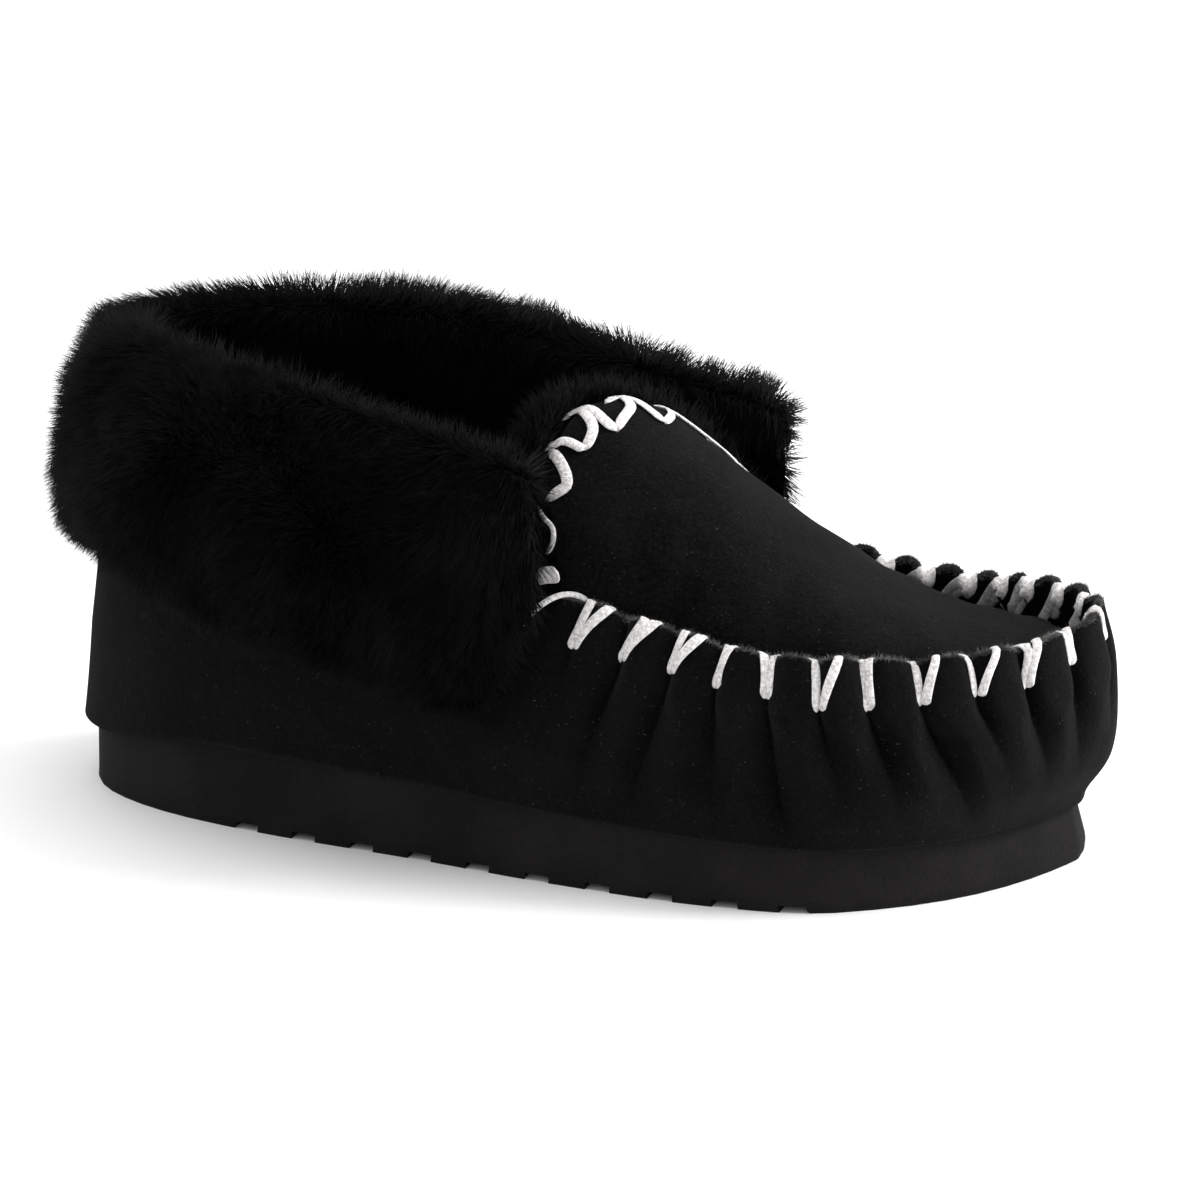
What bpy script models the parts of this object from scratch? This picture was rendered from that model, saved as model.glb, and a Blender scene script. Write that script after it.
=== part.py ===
"""Sheepskin moccasin, right shoe.

Heel at -X, toe at +X, lateral side at -Y, medial side at +Y, up is +Z. The origin is on the floor
under the middle of the sole. Metres throughout.

A suede side wall runs round the whole shoe on a thick foam sole. From the ball forward its top edge is
gathered in pleats against an apron that runs back over the instep as the tongue, and behind the instep
its collar is covered by a deep fur cuff.
"""

import math
import random

import bmesh
import bpy
import numpy as np

# Driving sizes of the sole
SOLE_LENGTH = 0.255
BALL_WIDTH = 0.106
HEEL_THICKNESS = 0.023
WAIST_THICKNESS = 0.019
TOE_THICKNESS = 0.014
SOLE_EDGE_ROUND = 0.0032
TOE_FLARE = 0.0016

# Driving sizes of the tread, whose grooves lie between two shares of the sole's length
TREAD_PITCH = 0.0160
GROOVE_WIDTH = 0.0064
GROOVE_DEPTH = 0.0018
TREAD_FROM = 0.155
TREAD_TO = 0.845

# Driving sizes of the upper, heights above the floor
COLLAR_HEIGHT = 0.114
RUFFLE_HEIGHT = 0.062
INSTEP_HEIGHT = 0.108
SEAM_DROP = 0.0085
WALL = 0.0024
LIP_THICKNESS = 0.0020
HEEL_LIP_DROP = 0.0058
LASTING_MARGIN = 0.011
PLEAT_PITCH = 0.0125
PLEAT_DEPTH = 0.0022
PLEAT_RISE = 0.0016
APRON_THICKNESS = 0.0022

# Driving sizes of the fur
CUFF_PILE = 0.0155
RIM_PILE = 0.0095
LINING_PILE = 0.0085
LINING_DEPTH = 0.026
LOCK_LENGTH = 0.0062
TONGUE_PILE = 0.0056

# Driving sizes of the insole
INSOLE_THICKNESS = 0.005
INSOLE_CLEARANCE = 0.0012
INSOLE_ROUND = 0.002

# Clearances between the pieces, and the distance under which two points of a curve are one
SAME_POINT = 1e-7
GAP = 0.0003
LIP_GAP = 0.0006
LIP_FOOT_GAP = 0.00072
CUFF_GAP = 0.0008
WOOL_GAP = 0.0009


class Table:
    """Rows with named columns, read smoothly between the rows and without overshoot."""

    def __init__(self, names, *rows):
        self.columns = dict(zip(names.split(), np.array(rows, float).T))
        self.names = names.split()

    def read(self, name, at):
        return smooth(self.columns[self.names[0]], self.columns[name], at)


def smooth(xs, ys, at):
    """A monotone cubic through the points, with its ends held level with the first and last point."""
    at = min(max(at, xs[0]), xs[-1])
    i = min(int(np.searchsorted(xs, at, side="right")) - 1, len(xs) - 2)
    step = np.diff(xs)
    slope = np.diff(ys) / step

    def tangent(k):
        if k == 0:
            return slope[0]
        if k == len(xs) - 1:
            return slope[-1]
        if slope[k - 1] * slope[k] <= 0:
            return 0.0
        return 2 * slope[k - 1] * slope[k] / (slope[k - 1] + slope[k])

    u = (at - xs[i]) / step[i]
    start = (2 * u**3 - 3 * u**2 + 1) * ys[i] + (u**3 - 2 * u**2 + u) * step[i] * tangent(i)
    end = (3 * u**2 - 2 * u**3) * ys[i + 1] + (u**3 - u**2) * step[i] * tangent(i + 1)
    return float(start + end)


def fade(value, start, end):
    """0 before start, 1 after end, smooth between them."""
    u = min(max((value - start) / (end - start), 0.0), 1.0)
    return u * u * (3 - 2 * u)


# Plan of the sole: share of its length from the heel, half widths as shares of the ball width
OUTLINE = Table(
    "row share lateral medial",
    (0, 0.00, 0.000, 0.000),
    (1, 0.01, 0.120, 0.120),
    (2, 0.03, 0.202, 0.200),
    (3, 0.07, 0.273, 0.270),
    (4, 0.14, 0.338, 0.325),
    (5, 0.25, 0.386, 0.325),
    (6, 0.40, 0.419, 0.305),
    (7, 0.55, 0.462, 0.355),
    (8, 0.67, 0.477, 0.455),
    (9, 0.78, 0.454, 0.505),
    (10, 0.87, 0.339, 0.475),
    (11, 0.94, 0.174, 0.400),
    (12, 0.98, 0.015, 0.280),
    (13, 1.00, -0.100, 0.150),
)

# Side wall: outer face outside the sole's edge, as shares of the ball width, at three levels of the wall.
# Rise is the height of its top edge, 0 at the ruffle's height and 1 at the collar's.
LATERAL_WALL = Table(
    "share belly shoulder top rise",
    (0.00, -0.012, -0.050, -0.085, 1.00),
    (0.10, 0.012, -0.020, -0.062, 1.00),
    (0.25, 0.034, -0.004, -0.058, 0.93),
    (0.33, 0.036, -0.006, -0.066, 0.84),
    (0.42, 0.036, -0.010, -0.078, 0.74),
    (0.516, 0.036, -0.022, -0.090, 0.60),
    (0.538, 0.037, -0.032, -0.098, 0.14),
    (0.57, 0.038, -0.038, -0.100, 0.115),
    (0.62, 0.040, -0.042, -0.104, 0.08),
    (0.67, 0.040, -0.042, -0.106, 0.042),
    (0.735, 0.041, -0.034, -0.098, -0.015),
    (0.80, 0.042, -0.024, -0.085, -0.015),
    (0.88, 0.046, 0.002, -0.062, -0.01),
    (0.95, 0.052, 0.032, -0.016, 0.00),
    (1.00, 0.054, 0.045, 0.012, 0.00),
)
MEDIAL_WALL = Table(
    "share belly shoulder top rise",
    (0.00, -0.012, -0.050, -0.085, 1.00),
    (0.10, 0.012, -0.016, -0.056, 0.98),
    (0.25, 0.040, 0.022, 0.004, 0.94),
    (0.40, 0.056, 0.052, 0.034, 0.87),
    (0.50, 0.050, 0.036, 0.014, 0.76),
    (0.56, 0.044, 0.022, -0.006, 0.68),
    (0.652, 0.039, -0.002, -0.054, 0.56),
    (0.674, 0.038, -0.026, -0.084, 0.11),
    (0.71, 0.038, -0.038, -0.100, 0.03),
    (0.80, 0.038, -0.038, -0.114, -0.035),
    (0.88, 0.042, -0.020, -0.106, -0.045),
    (0.95, 0.050, 0.014, -0.056, -0.02),
    (1.00, 0.054, 0.045, 0.012, 0.00),
)
WALL_LEVELS = (0.0, 0.14, 0.34, 0.58, 0.80, 1.0)
NEAREST_SECTIONS = 1 / 15
COLLAR_FRONT = {"lateral": 0.516, "medial": 0.652}
SEAM_END = {"lateral": 0.538, "medial": 0.674}
FIRST_PLEAT = 0.563
# The apron's seam climbs no higher than this many ruffle heights where the wall rises to the collar
SEAM_CEILING = 1.07

# Apron and tongue: crown height as a share of the instep height, by share of the sole's length
CROWN = Table(
    "share height",
    (0.40, 1.010),
    (0.54, 0.990),
    (0.62, 0.908),
    (0.70, 0.780),
    (0.79, 0.666),
    (0.88, 0.592),
    (0.95, 0.546),
    (1.02, 0.510),
)
# Rear edge of the tongue: across from lateral to medial, back as a share of the sole's length
TONGUE_EDGE = Table(
    "across share",
    (-1.00, 0.514),
    (-0.60, 0.503),
    (-0.30, 0.506),
    (0.00, 0.536),
    (0.25, 0.578),
    (0.45, 0.610),
    (0.70, 0.638),
    (1.00, 0.656),
)

# Fur cuff, from its lateral front round the heel to its medial front: its lower edge as a share of the
# collar height, and the pile of its outer face, its rim and its lining as shares of their named sizes
CUFF = Table(
    "along low outer rim lining depth",
    (0.00, 0.375, 0.80, 0.85, 0.25, 0.30),
    (0.05, 0.365, 0.92, 0.95, 0.50, 0.60),
    (0.12, 0.405, 0.97, 1.00, 0.85, 1.00),
    (0.25, 0.490, 0.92, 0.90, 1.00, 1.00),
    (0.36, 0.585, 0.75, 0.70, 1.00, 1.00),
    (0.45, 0.530, 0.66, 0.55, 1.00, 1.00),
    (0.55, 0.575, 0.75, 0.62, 1.00, 1.00),
    (0.70, 0.470, 0.90, 0.82, 1.00, 1.00),
    (0.82, 0.400, 0.90, 0.95, 0.85, 0.90),
    (0.92, 0.390, 0.85, 0.95, 0.50, 0.50),
    (1.00, 0.410, 0.75, 0.60, 0.25, 0.25),
)
# Pile across the cuff's outer leg, from its lower edge to its rim
CUFF_PROFILE = Table(
    "up pile",
    (0.00, 0.42),
    (0.12, 0.82),
    (0.38, 1.00),
    (0.70, 0.92),
    (1.00, 0.62),
)
# Shape of the cuff's lateral front edge, from its rim down to its lower edge
CUFF_FRONT = Table(
    "below back",
    (0.00, 0.75),
    (0.20, 0.35),
    (0.45, 0.00),
    (0.75, 0.30),
    (1.00, 1.00),
)
CUFF_LEVELS = (0.0, 0.12, 0.38, 0.70, 1.0)
CUFF_COLUMNS = 42
CUFF_SLANT = 0.006
TONGUE_WOOL_REACH = 0.93
# Section of the tongue's fleece: behind the tongue's edge and above it, in half piles
WOOL_SECTION = ((0, -0.7), (0.8, -1.0), (1.7, -0.6), (1.9, 0.2), (0.9, 0.8), (0, 0.45))
LOCK_SEED = 7

SUEDE = (0.010, 0.010, 0.010)
FOAM = (0.030, 0.027, 0.028)
FUR = (0.006, 0.006, 0.006)
WOOL = (0.012, 0.011, 0.011)


def material(name, color, roughness):
    made = bpy.data.materials.new(name)
    made.use_nodes = True
    shader = made.node_tree.nodes["Principled BSDF"]
    shader.inputs["Base Color"].default_value = (*color, 1)
    shader.inputs["Roughness"].default_value = roughness
    shader.inputs["Metallic"].default_value = 0
    return made


def solid(name, points, faces, finish):
    """Makes a mesh object of the points and faces, turned so that its faces point out."""
    mesh = bpy.data.meshes.new(name)
    mesh.from_pydata([tuple(point) for point in points], [], faces)
    made = bmesh.new()
    made.from_mesh(mesh)
    bmesh.ops.recalc_face_normals(made, faces=made.faces)
    if made.calc_volume(signed=True) < 0:
        bmesh.ops.reverse_faces(made, faces=made.faces)
    made.to_mesh(mesh)
    made.free()
    mesh.shade_smooth()
    mesh.set_sharp_from_angle(angle=math.radians(40))
    mesh.materials.append(finish)
    placed = bpy.data.objects.new(name, mesh)
    bpy.context.scene.collection.objects.link(placed)
    return placed


class Edge:
    """The sole's outline as one closed curve, measured along its length from the heel's middle."""

    def __init__(self, samples=400):
        rows = OUTLINE.columns["row"]
        steps = np.linspace(rows[0], rows[-1], samples)
        x = np.array([OUTLINE.read("share", step) - 0.5 for step in steps]) * SOLE_LENGTH
        lateral = np.array([OUTLINE.read("lateral", step) for step in steps]) * BALL_WIDTH
        medial = np.array([OUTLINE.read("medial", step) for step in steps]) * BALL_WIDTH
        there = np.column_stack([x, -lateral])
        back = np.column_stack([x, medial])[::-1]
        points = np.concatenate([there, back])
        run = np.linalg.norm(np.diff(points, axis=0), axis=1)
        self.points = points[np.concatenate([[True], run > SAME_POINT])]
        run = np.linalg.norm(np.diff(self.points, axis=0), axis=1)
        self.arcs = np.concatenate([[0], np.cumsum(run)])
        self.length = self.arcs[-1]
        self.toe = self.arcs[np.argmax(self.points[:, 0])]

    def point(self, arc):
        arc = arc % self.length
        return np.array([np.interp(arc, self.arcs, self.points[:, i]) for i in (0, 1)])

    def normal(self, arc, reach=SOLE_LENGTH / 64):
        along = self.point(arc + reach) - self.point(arc - reach)
        along = along / np.linalg.norm(along)
        return np.array([along[1], -along[0]])

    def side(self, arc):
        return "lateral" if arc % self.length <= self.toe else "medial"

    def arc(self, share, side):
        """How far along the curve a share of the sole's length lies, on one side."""
        x = (share - 0.5) * SOLE_LENGTH
        here = self.arcs <= self.toe if side == "lateral" else self.arcs >= self.toe
        xs = self.points[here, 0]
        arcs = self.arcs[here]
        return float(np.interp(x, xs, arcs) if side == "lateral" else np.interp(x, xs[::-1], arcs[::-1]))

    def offset(self, arc, out, height):
        """A point of space outside the sole's edge by out, at a height."""
        flat = self.point(arc) + self.normal(arc) * out
        return np.array([flat[0], flat[1], height])

    def on_sole(self, arc, out, rise):
        """A point outside the sole's edge by out, above the sole's top by rise."""
        flat = self.point(arc) + self.normal(arc) * out
        return np.array([flat[0], flat[1], sole_top(flat[0]) + rise])


EDGE = Edge()
SEAM_START = EDGE.arc(SEAM_END["lateral"], "lateral")
SEAM_STOP = EDGE.arc(SEAM_END["medial"], "medial")
FIRST_CREASE = EDGE.arc(FIRST_PLEAT, "lateral")


def share_at(arc):
    return EDGE.point(arc)[0] / SOLE_LENGTH + 0.5


def sole_top(x):
    share = min(max(x / SOLE_LENGTH + 0.5, 0.0), 1.0)
    return smooth((0.0, 0.5, 1.0), (HEEL_THICKNESS, WAIST_THICKNESS, TOE_THICKNESS), share)


def wall_table(arc):
    return LATERAL_WALL if EDGE.side(arc) == "lateral" else MEDIAL_WALL


def wall_foot(arc):
    """Height of the wall's lower edge, which hangs over the sole's side round the heel."""
    share = share_at(arc)
    return sole_top(EDGE.point(arc)[0]) + GAP - HEEL_LIP_DROP * (1 - fade(share, 0.02, 0.20))


def wall_top(arc):
    rise = wall_table(arc).read("rise", share_at(arc))
    return RUFFLE_HEIGHT + rise * (COLLAR_HEIGHT - RUFFLE_HEIGHT)


def lobe(arc):
    """0 in a pleat's crease and 1 on the lobe between two creases."""
    phase = ((arc - FIRST_CREASE) / PLEAT_PITCH) % 1
    near = 2 * min(phase, 1 - phase)
    return 1 - (1 - near) ** 2


def gathered(arc):
    """1 where the wall is pleated, 0 behind the ends of the apron's seam."""
    inside = min(arc - SEAM_START, SEAM_STOP - arc)
    return fade(inside, 0, PLEAT_PITCH)


def wall_point(arc, level):
    """Offset from the sole's edge and height of the wall's outer face."""
    share = share_at(arc)
    table = wall_table(arc)
    lip = (LIP_GAP + LIP_THICKNESS) / BALL_WIDTH
    offsets = [lip, *(table.read(name, share) for name in ("belly", "shoulder", "top"))]
    out = smooth((0.0, 0.34, 0.74, 1.0), offsets, level) * BALL_WIDTH
    foot = wall_foot(arc)
    height = foot + (wall_top(arc) - foot) * level
    pleat = gathered(arc) * fade(level, 0.25, 0.85)
    out += PLEAT_DEPTH * (lobe(arc) - 0.6) * pleat
    height += PLEAT_RISE * (lobe(arc) - 0.6) * pleat * level
    return np.array([out, height])


def level_at(arc, height):
    foot = wall_foot(arc)
    return min(max((height - foot) / (wall_top(arc) - foot), 0.0), 1.0)


def wall_face(arc, level, depth):
    """The wall's face at a depth inside the outer one, square to the wall."""
    reach = 0.04
    here = wall_point(arc, level)
    along = wall_point(arc, min(level + reach, 1)) - wall_point(arc, max(level - reach, 0))
    along = along / np.linalg.norm(along)
    return here + np.array([-along[1], along[0]]) * depth


def wall_section(arc):
    """One closed cross-section of the upper: outer face, inner face, lasting margin, lip."""
    outer = [wall_point(arc, level) for level in WALL_LEVELS]
    inner = [wall_face(arc, level, WALL) for level in WALL_LEVELS[:0:-1]]
    faces = [EDGE.offset(arc, *point) for point in outer + inner]
    under = [(inner[-1][0], GAP + WALL), (-LASTING_MARGIN, GAP + WALL), (-LASTING_MARGIN, GAP), (LIP_GAP, GAP)]
    margin = [EDGE.on_sole(arc, *point) for point in under]
    return faces + margin + [EDGE.offset(arc, LIP_FOOT_GAP, wall_foot(arc))]


def upper_arcs():
    """Where the sections stand: three to each pleat, and wider apart behind the collar's front."""
    creases = int((SEAM_STOP - SEAM_START) / PLEAT_PITCH) + 2
    first = FIRST_CREASE - PLEAT_PITCH
    pleated = [first + PLEAT_PITCH * k / 3 for k in range(3 * creases)]
    pleated = [arc for arc in pleated if SEAM_START < arc < SEAM_STOP]
    fronts = [EDGE.arc(COLLAR_FRONT[side], side) for side in ("lateral", "medial")]
    lateral_fall = list(np.linspace(fronts[0], SEAM_START, 5))
    medial_fall = list(np.linspace(SEAM_STOP, fronts[1], 5))
    round_heel = np.linspace(fronts[1], fronts[0] + EDGE.length, 50)[1:-1]
    arcs = lateral_fall + pleated + medial_fall + list(round_heel)
    kept = [arcs[0]]
    for arc in arcs[1:]:
        if arc - kept[-1] > PLEAT_PITCH * NEAREST_SECTIONS:
            kept.append(arc)
    return kept


def tube(sections, closed):
    """Faces between neighbouring closed sections, with end caps where the run is open."""
    count = len(sections[0])
    points = [point for section in sections for point in section]
    faces = []
    for i in range(len(sections) if closed else len(sections) - 1):
        a = i * count
        b = (i + 1) % len(sections) * count
        for k in range(count):
            n = (k + 1) % count
            faces.append((a + k, a + n, b + n, b + k))
    if not closed:
        last = (len(sections) - 1) * count
        faces.append(tuple(range(count))[::-1])
        faces.append(tuple(range(last, last + count)))
    return points, faces


def make_upper(finish):
    sections = [wall_section(arc) for arc in upper_arcs()]
    points, faces = tube(sections, closed=True)
    return solid("upper", points, faces, finish)


def layered(name, rings, finish):
    """A solid of stacked rings, whose first and last are closed by strips from side to side."""
    count = len(rings[0])
    points = [point for ring in rings for point in ring]
    faces = []
    for i in range(len(rings) - 1):
        for k in range(count):
            n = (k + 1) % count
            faces.append((i * count + k, i * count + n, (i + 1) * count + n, (i + 1) * count + k))
    for start in (0, (len(rings) - 1) * count):
        for k in range(count // 2):
            near = (start + k, start + k + 1)
            far = (start + (count - k - 1) % count, start + (count - k) % count)
            faces.append(tuple(dict.fromkeys((*near, *far))))
    return solid(name, points, faces, finish)


def plan_arcs(half):
    """Places round the outline, in pairs that face each other across the shoe."""
    shares = [(1 - math.cos(math.pi * k / half)) / 2 for k in range(half + 1)]
    lateral = [EDGE.arc(share, "lateral") for share in shares]
    medial = [EDGE.arc(share, "medial") for share in shares[-2:0:-1]]
    return lateral + medial


def make_outsole(finish):
    """The foam sole: a rounded lower edge, a side that flares at the toe, and grooves across the tread."""
    arcs = plan_arcs(36)
    edge = SOLE_EDGE_ROUND

    def ring(inset, above_floor=None, below_top=0.0):
        made = []
        for arc in arcs:
            flare = TOE_FLARE * fade(share_at(arc), 0.80, 1.0)
            top = sole_top(EDGE.point(arc)[0])
            z = top - below_top if above_floor is None else above_floor
            made.append(EDGE.offset(arc, flare * (1 - z / top) - inset, z))
        return made

    rings = [
        ring(edge * 0.95, above_floor=0.0),
        ring(edge * 0.35, above_floor=edge * 0.22),
        ring(0.0, above_floor=edge),
        ring(0.0, below_top=edge * 0.2),
        ring(edge * 0.2),
    ]
    sole = layered("outsole", rings, finish)
    first = math.ceil((TREAD_FROM - 0.5) * SOLE_LENGTH / TREAD_PITCH - 0.5)
    last = math.floor((TREAD_TO - 0.5) * SOLE_LENGTH / TREAD_PITCH - 0.5)
    cutter = bmesh.new()
    for k in range(first, last + 1):
        made = bmesh.ops.create_cube(cutter, size=1)
        bmesh.ops.scale(cutter, vec=(GROOVE_WIDTH, BALL_WIDTH * 1.4, GROOVE_DEPTH * 2), verts=made["verts"])
        bmesh.ops.translate(cutter, vec=((k + 0.5) * TREAD_PITCH, 0, 0), verts=made["verts"])
    mesh = bpy.data.meshes.new("groove_cutter")
    cutter.to_mesh(mesh)
    cutter.free()
    grooves = bpy.data.objects.new("groove_cutter", mesh)
    bpy.context.scene.collection.objects.link(grooves)
    grooves.hide_render = True
    grooves.display_type = "WIRE"
    cut = sole.modifiers.new("tread", "BOOLEAN")
    cut.operation = "DIFFERENCE"
    cut.object = grooves
    return sole


def make_insole(finish):
    """A footbed that steps down between the upper's lasting margins."""
    arcs = plan_arcs(30)

    def ring(inset, rise):
        return [EDGE.on_sole(arc, -inset, GAP + rise) for arc in arcs]

    step = LASTING_MARGIN + INSOLE_CLEARANCE
    rim = WALL + INSOLE_CLEARANCE
    shelf = WALL + GAP
    rings = [
        ring(step, 0.0),
        ring(step, shelf),
        ring(rim, shelf),
        ring(rim, shelf + INSOLE_THICKNESS * 0.7),
        ring(rim + INSOLE_ROUND, shelf + INSOLE_THICKNESS),
    ]
    return layered("insole", rings, finish)


def seam_point(arc):
    """Where the apron's edge meets the inside of the side wall."""
    height = min(wall_top(arc), RUFFLE_HEIGHT * SEAM_CEILING) - SEAM_DROP
    out, z = wall_face(arc, level_at(arc, height), WALL)
    out = min(out, wall_face(arc, level_at(arc, height + SEAM_DROP), WALL)[0])
    return EDGE.offset(arc, out - PLEAT_DEPTH * 0.2 - GAP, z)


def apron_point(along, across):
    """The apron's outer face: along from the tongue's rear edge to the toe, across from -1 to 1."""
    left = seam_point(SEAM_START + (EDGE.toe - SEAM_START) * along)
    right = seam_point(SEAM_STOP + (EDGE.toe - SEAM_STOP) * along)
    point = left + (right - left) * (across + 1) / 2
    ends = [seam_point(arc)[0] for arc in (SEAM_START, SEAM_STOP)]
    chord = ends[0] + (ends[1] - ends[0]) * (across + 1) / 2
    rear = (TONGUE_EDGE.read("share", across) - 0.5) * SOLE_LENGTH
    point[0] += (rear - chord) * (1 - along) ** 3 * (1 - across**8)
    crown = CROWN.read("height", point[0] / SOLE_LENGTH + 0.5) * INSTEP_HEIGHT
    arch = max(1 - abs(across) ** 2.2, 0) ** 0.6
    point[2] += max(crown - point[2], 0) * arch
    return point


def make_apron(finish):
    """The apron with its tongue, a sheet of suede that narrows to the middle of the toe."""
    rows = 24
    columns = 12
    points = []
    for i in range(rows):
        for j in range(columns + 1):
            points.append(apron_point(i / rows, math.sin(math.pi / 2 * (2 * j / columns - 1))))
    points.append(apron_point(1, 0))
    tip = len(points) - 1
    faces = []
    for i in range(rows - 1):
        for j in range(columns):
            a = i * (columns + 1) + j
            faces.append((a, a + columns + 1, a + columns + 2, a + 1))
    last = (rows - 1) * (columns + 1)
    faces += [(last + j, tip, last + j + 1) for j in range(columns)]
    mesh = bpy.data.meshes.new("apron")
    mesh.from_pydata([tuple(point) for point in points], [], faces)
    mesh.shade_smooth()
    mesh.materials.append(finish)
    apron = bpy.data.objects.new("apron", mesh)
    bpy.context.scene.collection.objects.link(apron)
    thick = apron.modifiers.new("thickness", "SOLIDIFY")
    thick.thickness = APRON_THICKNESS
    thick.offset = -1
    thick.use_even_offset = False
    return apron


def outward(points, faces):
    """The same faces, all turned round if together they enclose a negative volume."""
    total = 0.0
    for face in faces:
        for k in range(1, len(face) - 1):
            total += np.dot(points[face[0]], np.cross(points[face[k]], points[face[k + 1]]))
    return faces if total > 0 else [face[::-1] for face in faces]


def with_locks(points, faces, chosen, length, sway, sharpness=0.34):
    """Draws the chosen faces out into tapered locks, leaning along the sway of each."""
    rand = random.Random(LOCK_SEED)
    points = list(points)
    grown = []
    for index, face in enumerate(faces):
        if index not in chosen:
            grown.append(face)
            continue
        corners = np.array([points[k] for k in face])
        middle = corners.mean(axis=0)
        square = np.cross(corners[2] - corners[0], corners[3] - corners[1])
        square = square / np.linalg.norm(square)
        side = corners[1] - corners[0] + corners[2] - corners[3]
        side = side / np.linalg.norm(side) * rand.uniform(-0.25, 0.25)
        lean = (square * 0.75 + sway(index) + side) * length * rand.uniform(0.65, 1.1)
        start = len(points)
        points += [middle + (corner - middle) * sharpness + lean for corner in corners]
        for k in range(4):
            n = (k + 1) % 4
            grown.append((face[k], face[n], start + n, start + k))
        grown.append(tuple(range(start, start + 4)))
    return points, grown


def cuff_section(along):
    """One closed cross-section of the cuff, an upside-down U of fur over the collar's edge."""
    start = EDGE.arc(COLLAR_FRONT["lateral"], "lateral")
    stop = EDGE.arc(COLLAR_FRONT["medial"], "medial") - EDGE.length
    place = start - along * (start - stop)
    slant = CUFF_SLANT * max(1 - along / 0.12, 0)
    row = {name: CUFF.read(name, along) for name in CUFF.names}
    loop = []

    def add(up, pile=0.0, lift=0.0):
        """A point over the wall's outer face, up from the cuff's lower edge to the rim."""
        arc = place - slant * CUFF_FRONT.read("back", 1 - up)
        low = row["low"] * COLLAR_HEIGHT
        height = low + (wall_top(arc) - low) * up
        out = wall_point(arc, level_at(arc, height))[0] + CUFF_GAP + pile
        loop.append(EDGE.offset(arc, out, height + lift))

    def add_lining(down, pile=0.0, lift=0.0):
        """A point over the wall's inner face, down from the rim to the lining's lower edge."""
        arc = place - slant * CUFF_FRONT.read("back", 0)
        height = wall_top(arc) - LINING_DEPTH * row["depth"] * down
        level = level_at(arc, height)
        out, z = wall_face(arc, level, WALL)
        loop.append(EDGE.offset(arc, out - CUFF_GAP - pile, height + z - wall_point(arc, level)[1] + lift))

    fur = CUFF_PILE * row["outer"]
    rim = RIM_PILE * row["rim"]
    inside = LINING_PILE * row["lining"]
    add(0)
    for up in CUFF_LEVELS:
        add(up, pile=fur * CUFF_PROFILE.read("pile", up), lift=-LOCK_LENGTH * 0.3 * (1 - up))
    add(1, pile=fur * 0.36 - WALL / 2, lift=rim * 0.72)
    add(1, pile=-WALL / 2 - inside * 0.1, lift=rim)
    add_lining(0, pile=inside * 0.72, lift=rim * 0.6)
    add_lining(0.4, pile=inside)
    add_lining(0.95, pile=inside * 0.7)
    add_lining(1)
    add_lining(0.5)
    add_lining(0, lift=CUFF_GAP)
    for up in (1, 0.8, 0.6, 0.4, 0.2):
        add(up, lift=CUFF_GAP * (up == 1))
    return loop


def make_cuff(finish):
    sections = [cuff_section(k / CUFF_COLUMNS) for k in range(CUFF_COLUMNS + 1)]
    count = len(sections[0])
    points, faces = tube(sections, closed=False)
    faces = outward(points, faces)
    furry = len(CUFF_LEVELS) + 4
    chosen = {i * count + k for i in range(CUFF_COLUMNS) for k in range(1, furry)}

    def sway(index):
        column, k = divmod(index, count)
        hang = points[column * count + k] - points[column * count + k + 1]
        hang = hang / np.linalg.norm(hang) * (0.75 if k <= len(CUFF_LEVELS) else 0.0)
        forward = np.array([0.5, 0, 0]) * (1 if column < 2 or column > CUFF_COLUMNS - 3 else 0)
        return hang + forward

    points, faces = with_locks(points, faces, chosen, LOCK_LENGTH, sway)
    return solid("fur_cuff", points, faces, finish)


def make_tongue_wool(finish):
    """The fleece that stands out behind the tongue's rear edge."""
    columns = 22
    half = TONGUE_PILE / 2
    sections = []
    for j in range(columns + 1):
        across = TONGUE_WOOL_REACH * math.sin(math.pi / 2 * (2 * j / columns - 1))
        edge = apron_point(0, across)
        back = edge - apron_point(0.02, across)
        back = back / np.linalg.norm(back)
        round_edge = apron_point(0, across + 0.01) - apron_point(0, across - 0.01)
        square = np.cross(back, round_edge)
        square = square / np.linalg.norm(square)
        square = square if square[2] >= 0 else -square
        start = edge + back * WOOL_GAP - square * APRON_THICKNESS * 0.6
        sections.append([start + back * half * x + square * half * y for x, y in WOOL_SECTION])
    count = len(sections[0])
    points, faces = tube(sections, closed=False)
    faces = outward(points, faces)
    chosen = {i * count + k for i in range(columns) for k in (2, 3)}
    points, faces = with_locks(points, faces, chosen, LOCK_LENGTH * 0.6, lambda index: np.zeros(3))
    return solid("tongue_wool", points, faces, finish)


def main():
    for old in list(bpy.data.objects):
        bpy.data.objects.remove(old, do_unlink=True)
    suede = material("suede", SUEDE, 0.95)
    foam = material("foam", FOAM, 0.8)
    fur = material("fur", FUR, 0.9)
    wool = material("wool", WOOL, 0.95)
    make_outsole(foam)
    make_upper(suede)
    make_insole(wool)
    make_apron(suede)
    make_cuff(fur)
    make_tongue_wool(wool)


main()
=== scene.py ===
# %% [markdown]
# # A sheepskin moccasin
#
# This lesson dresses a plain model of a slipper shoe: black suede gathered round an apron, off-white
# lacing, a deep fur cuff and a thick foam sole. The plain model is loaded first and never changed. Each
# piece of it is then measured, and a finer piece is modelled in its place.

# %% Load the plain model
import math

import bpy
import numpy as np
from mathutils import Matrix, Vector, noise
from mathutils.bvhtree import BVHTree
from mathutils.kdtree import KDTree


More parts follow.
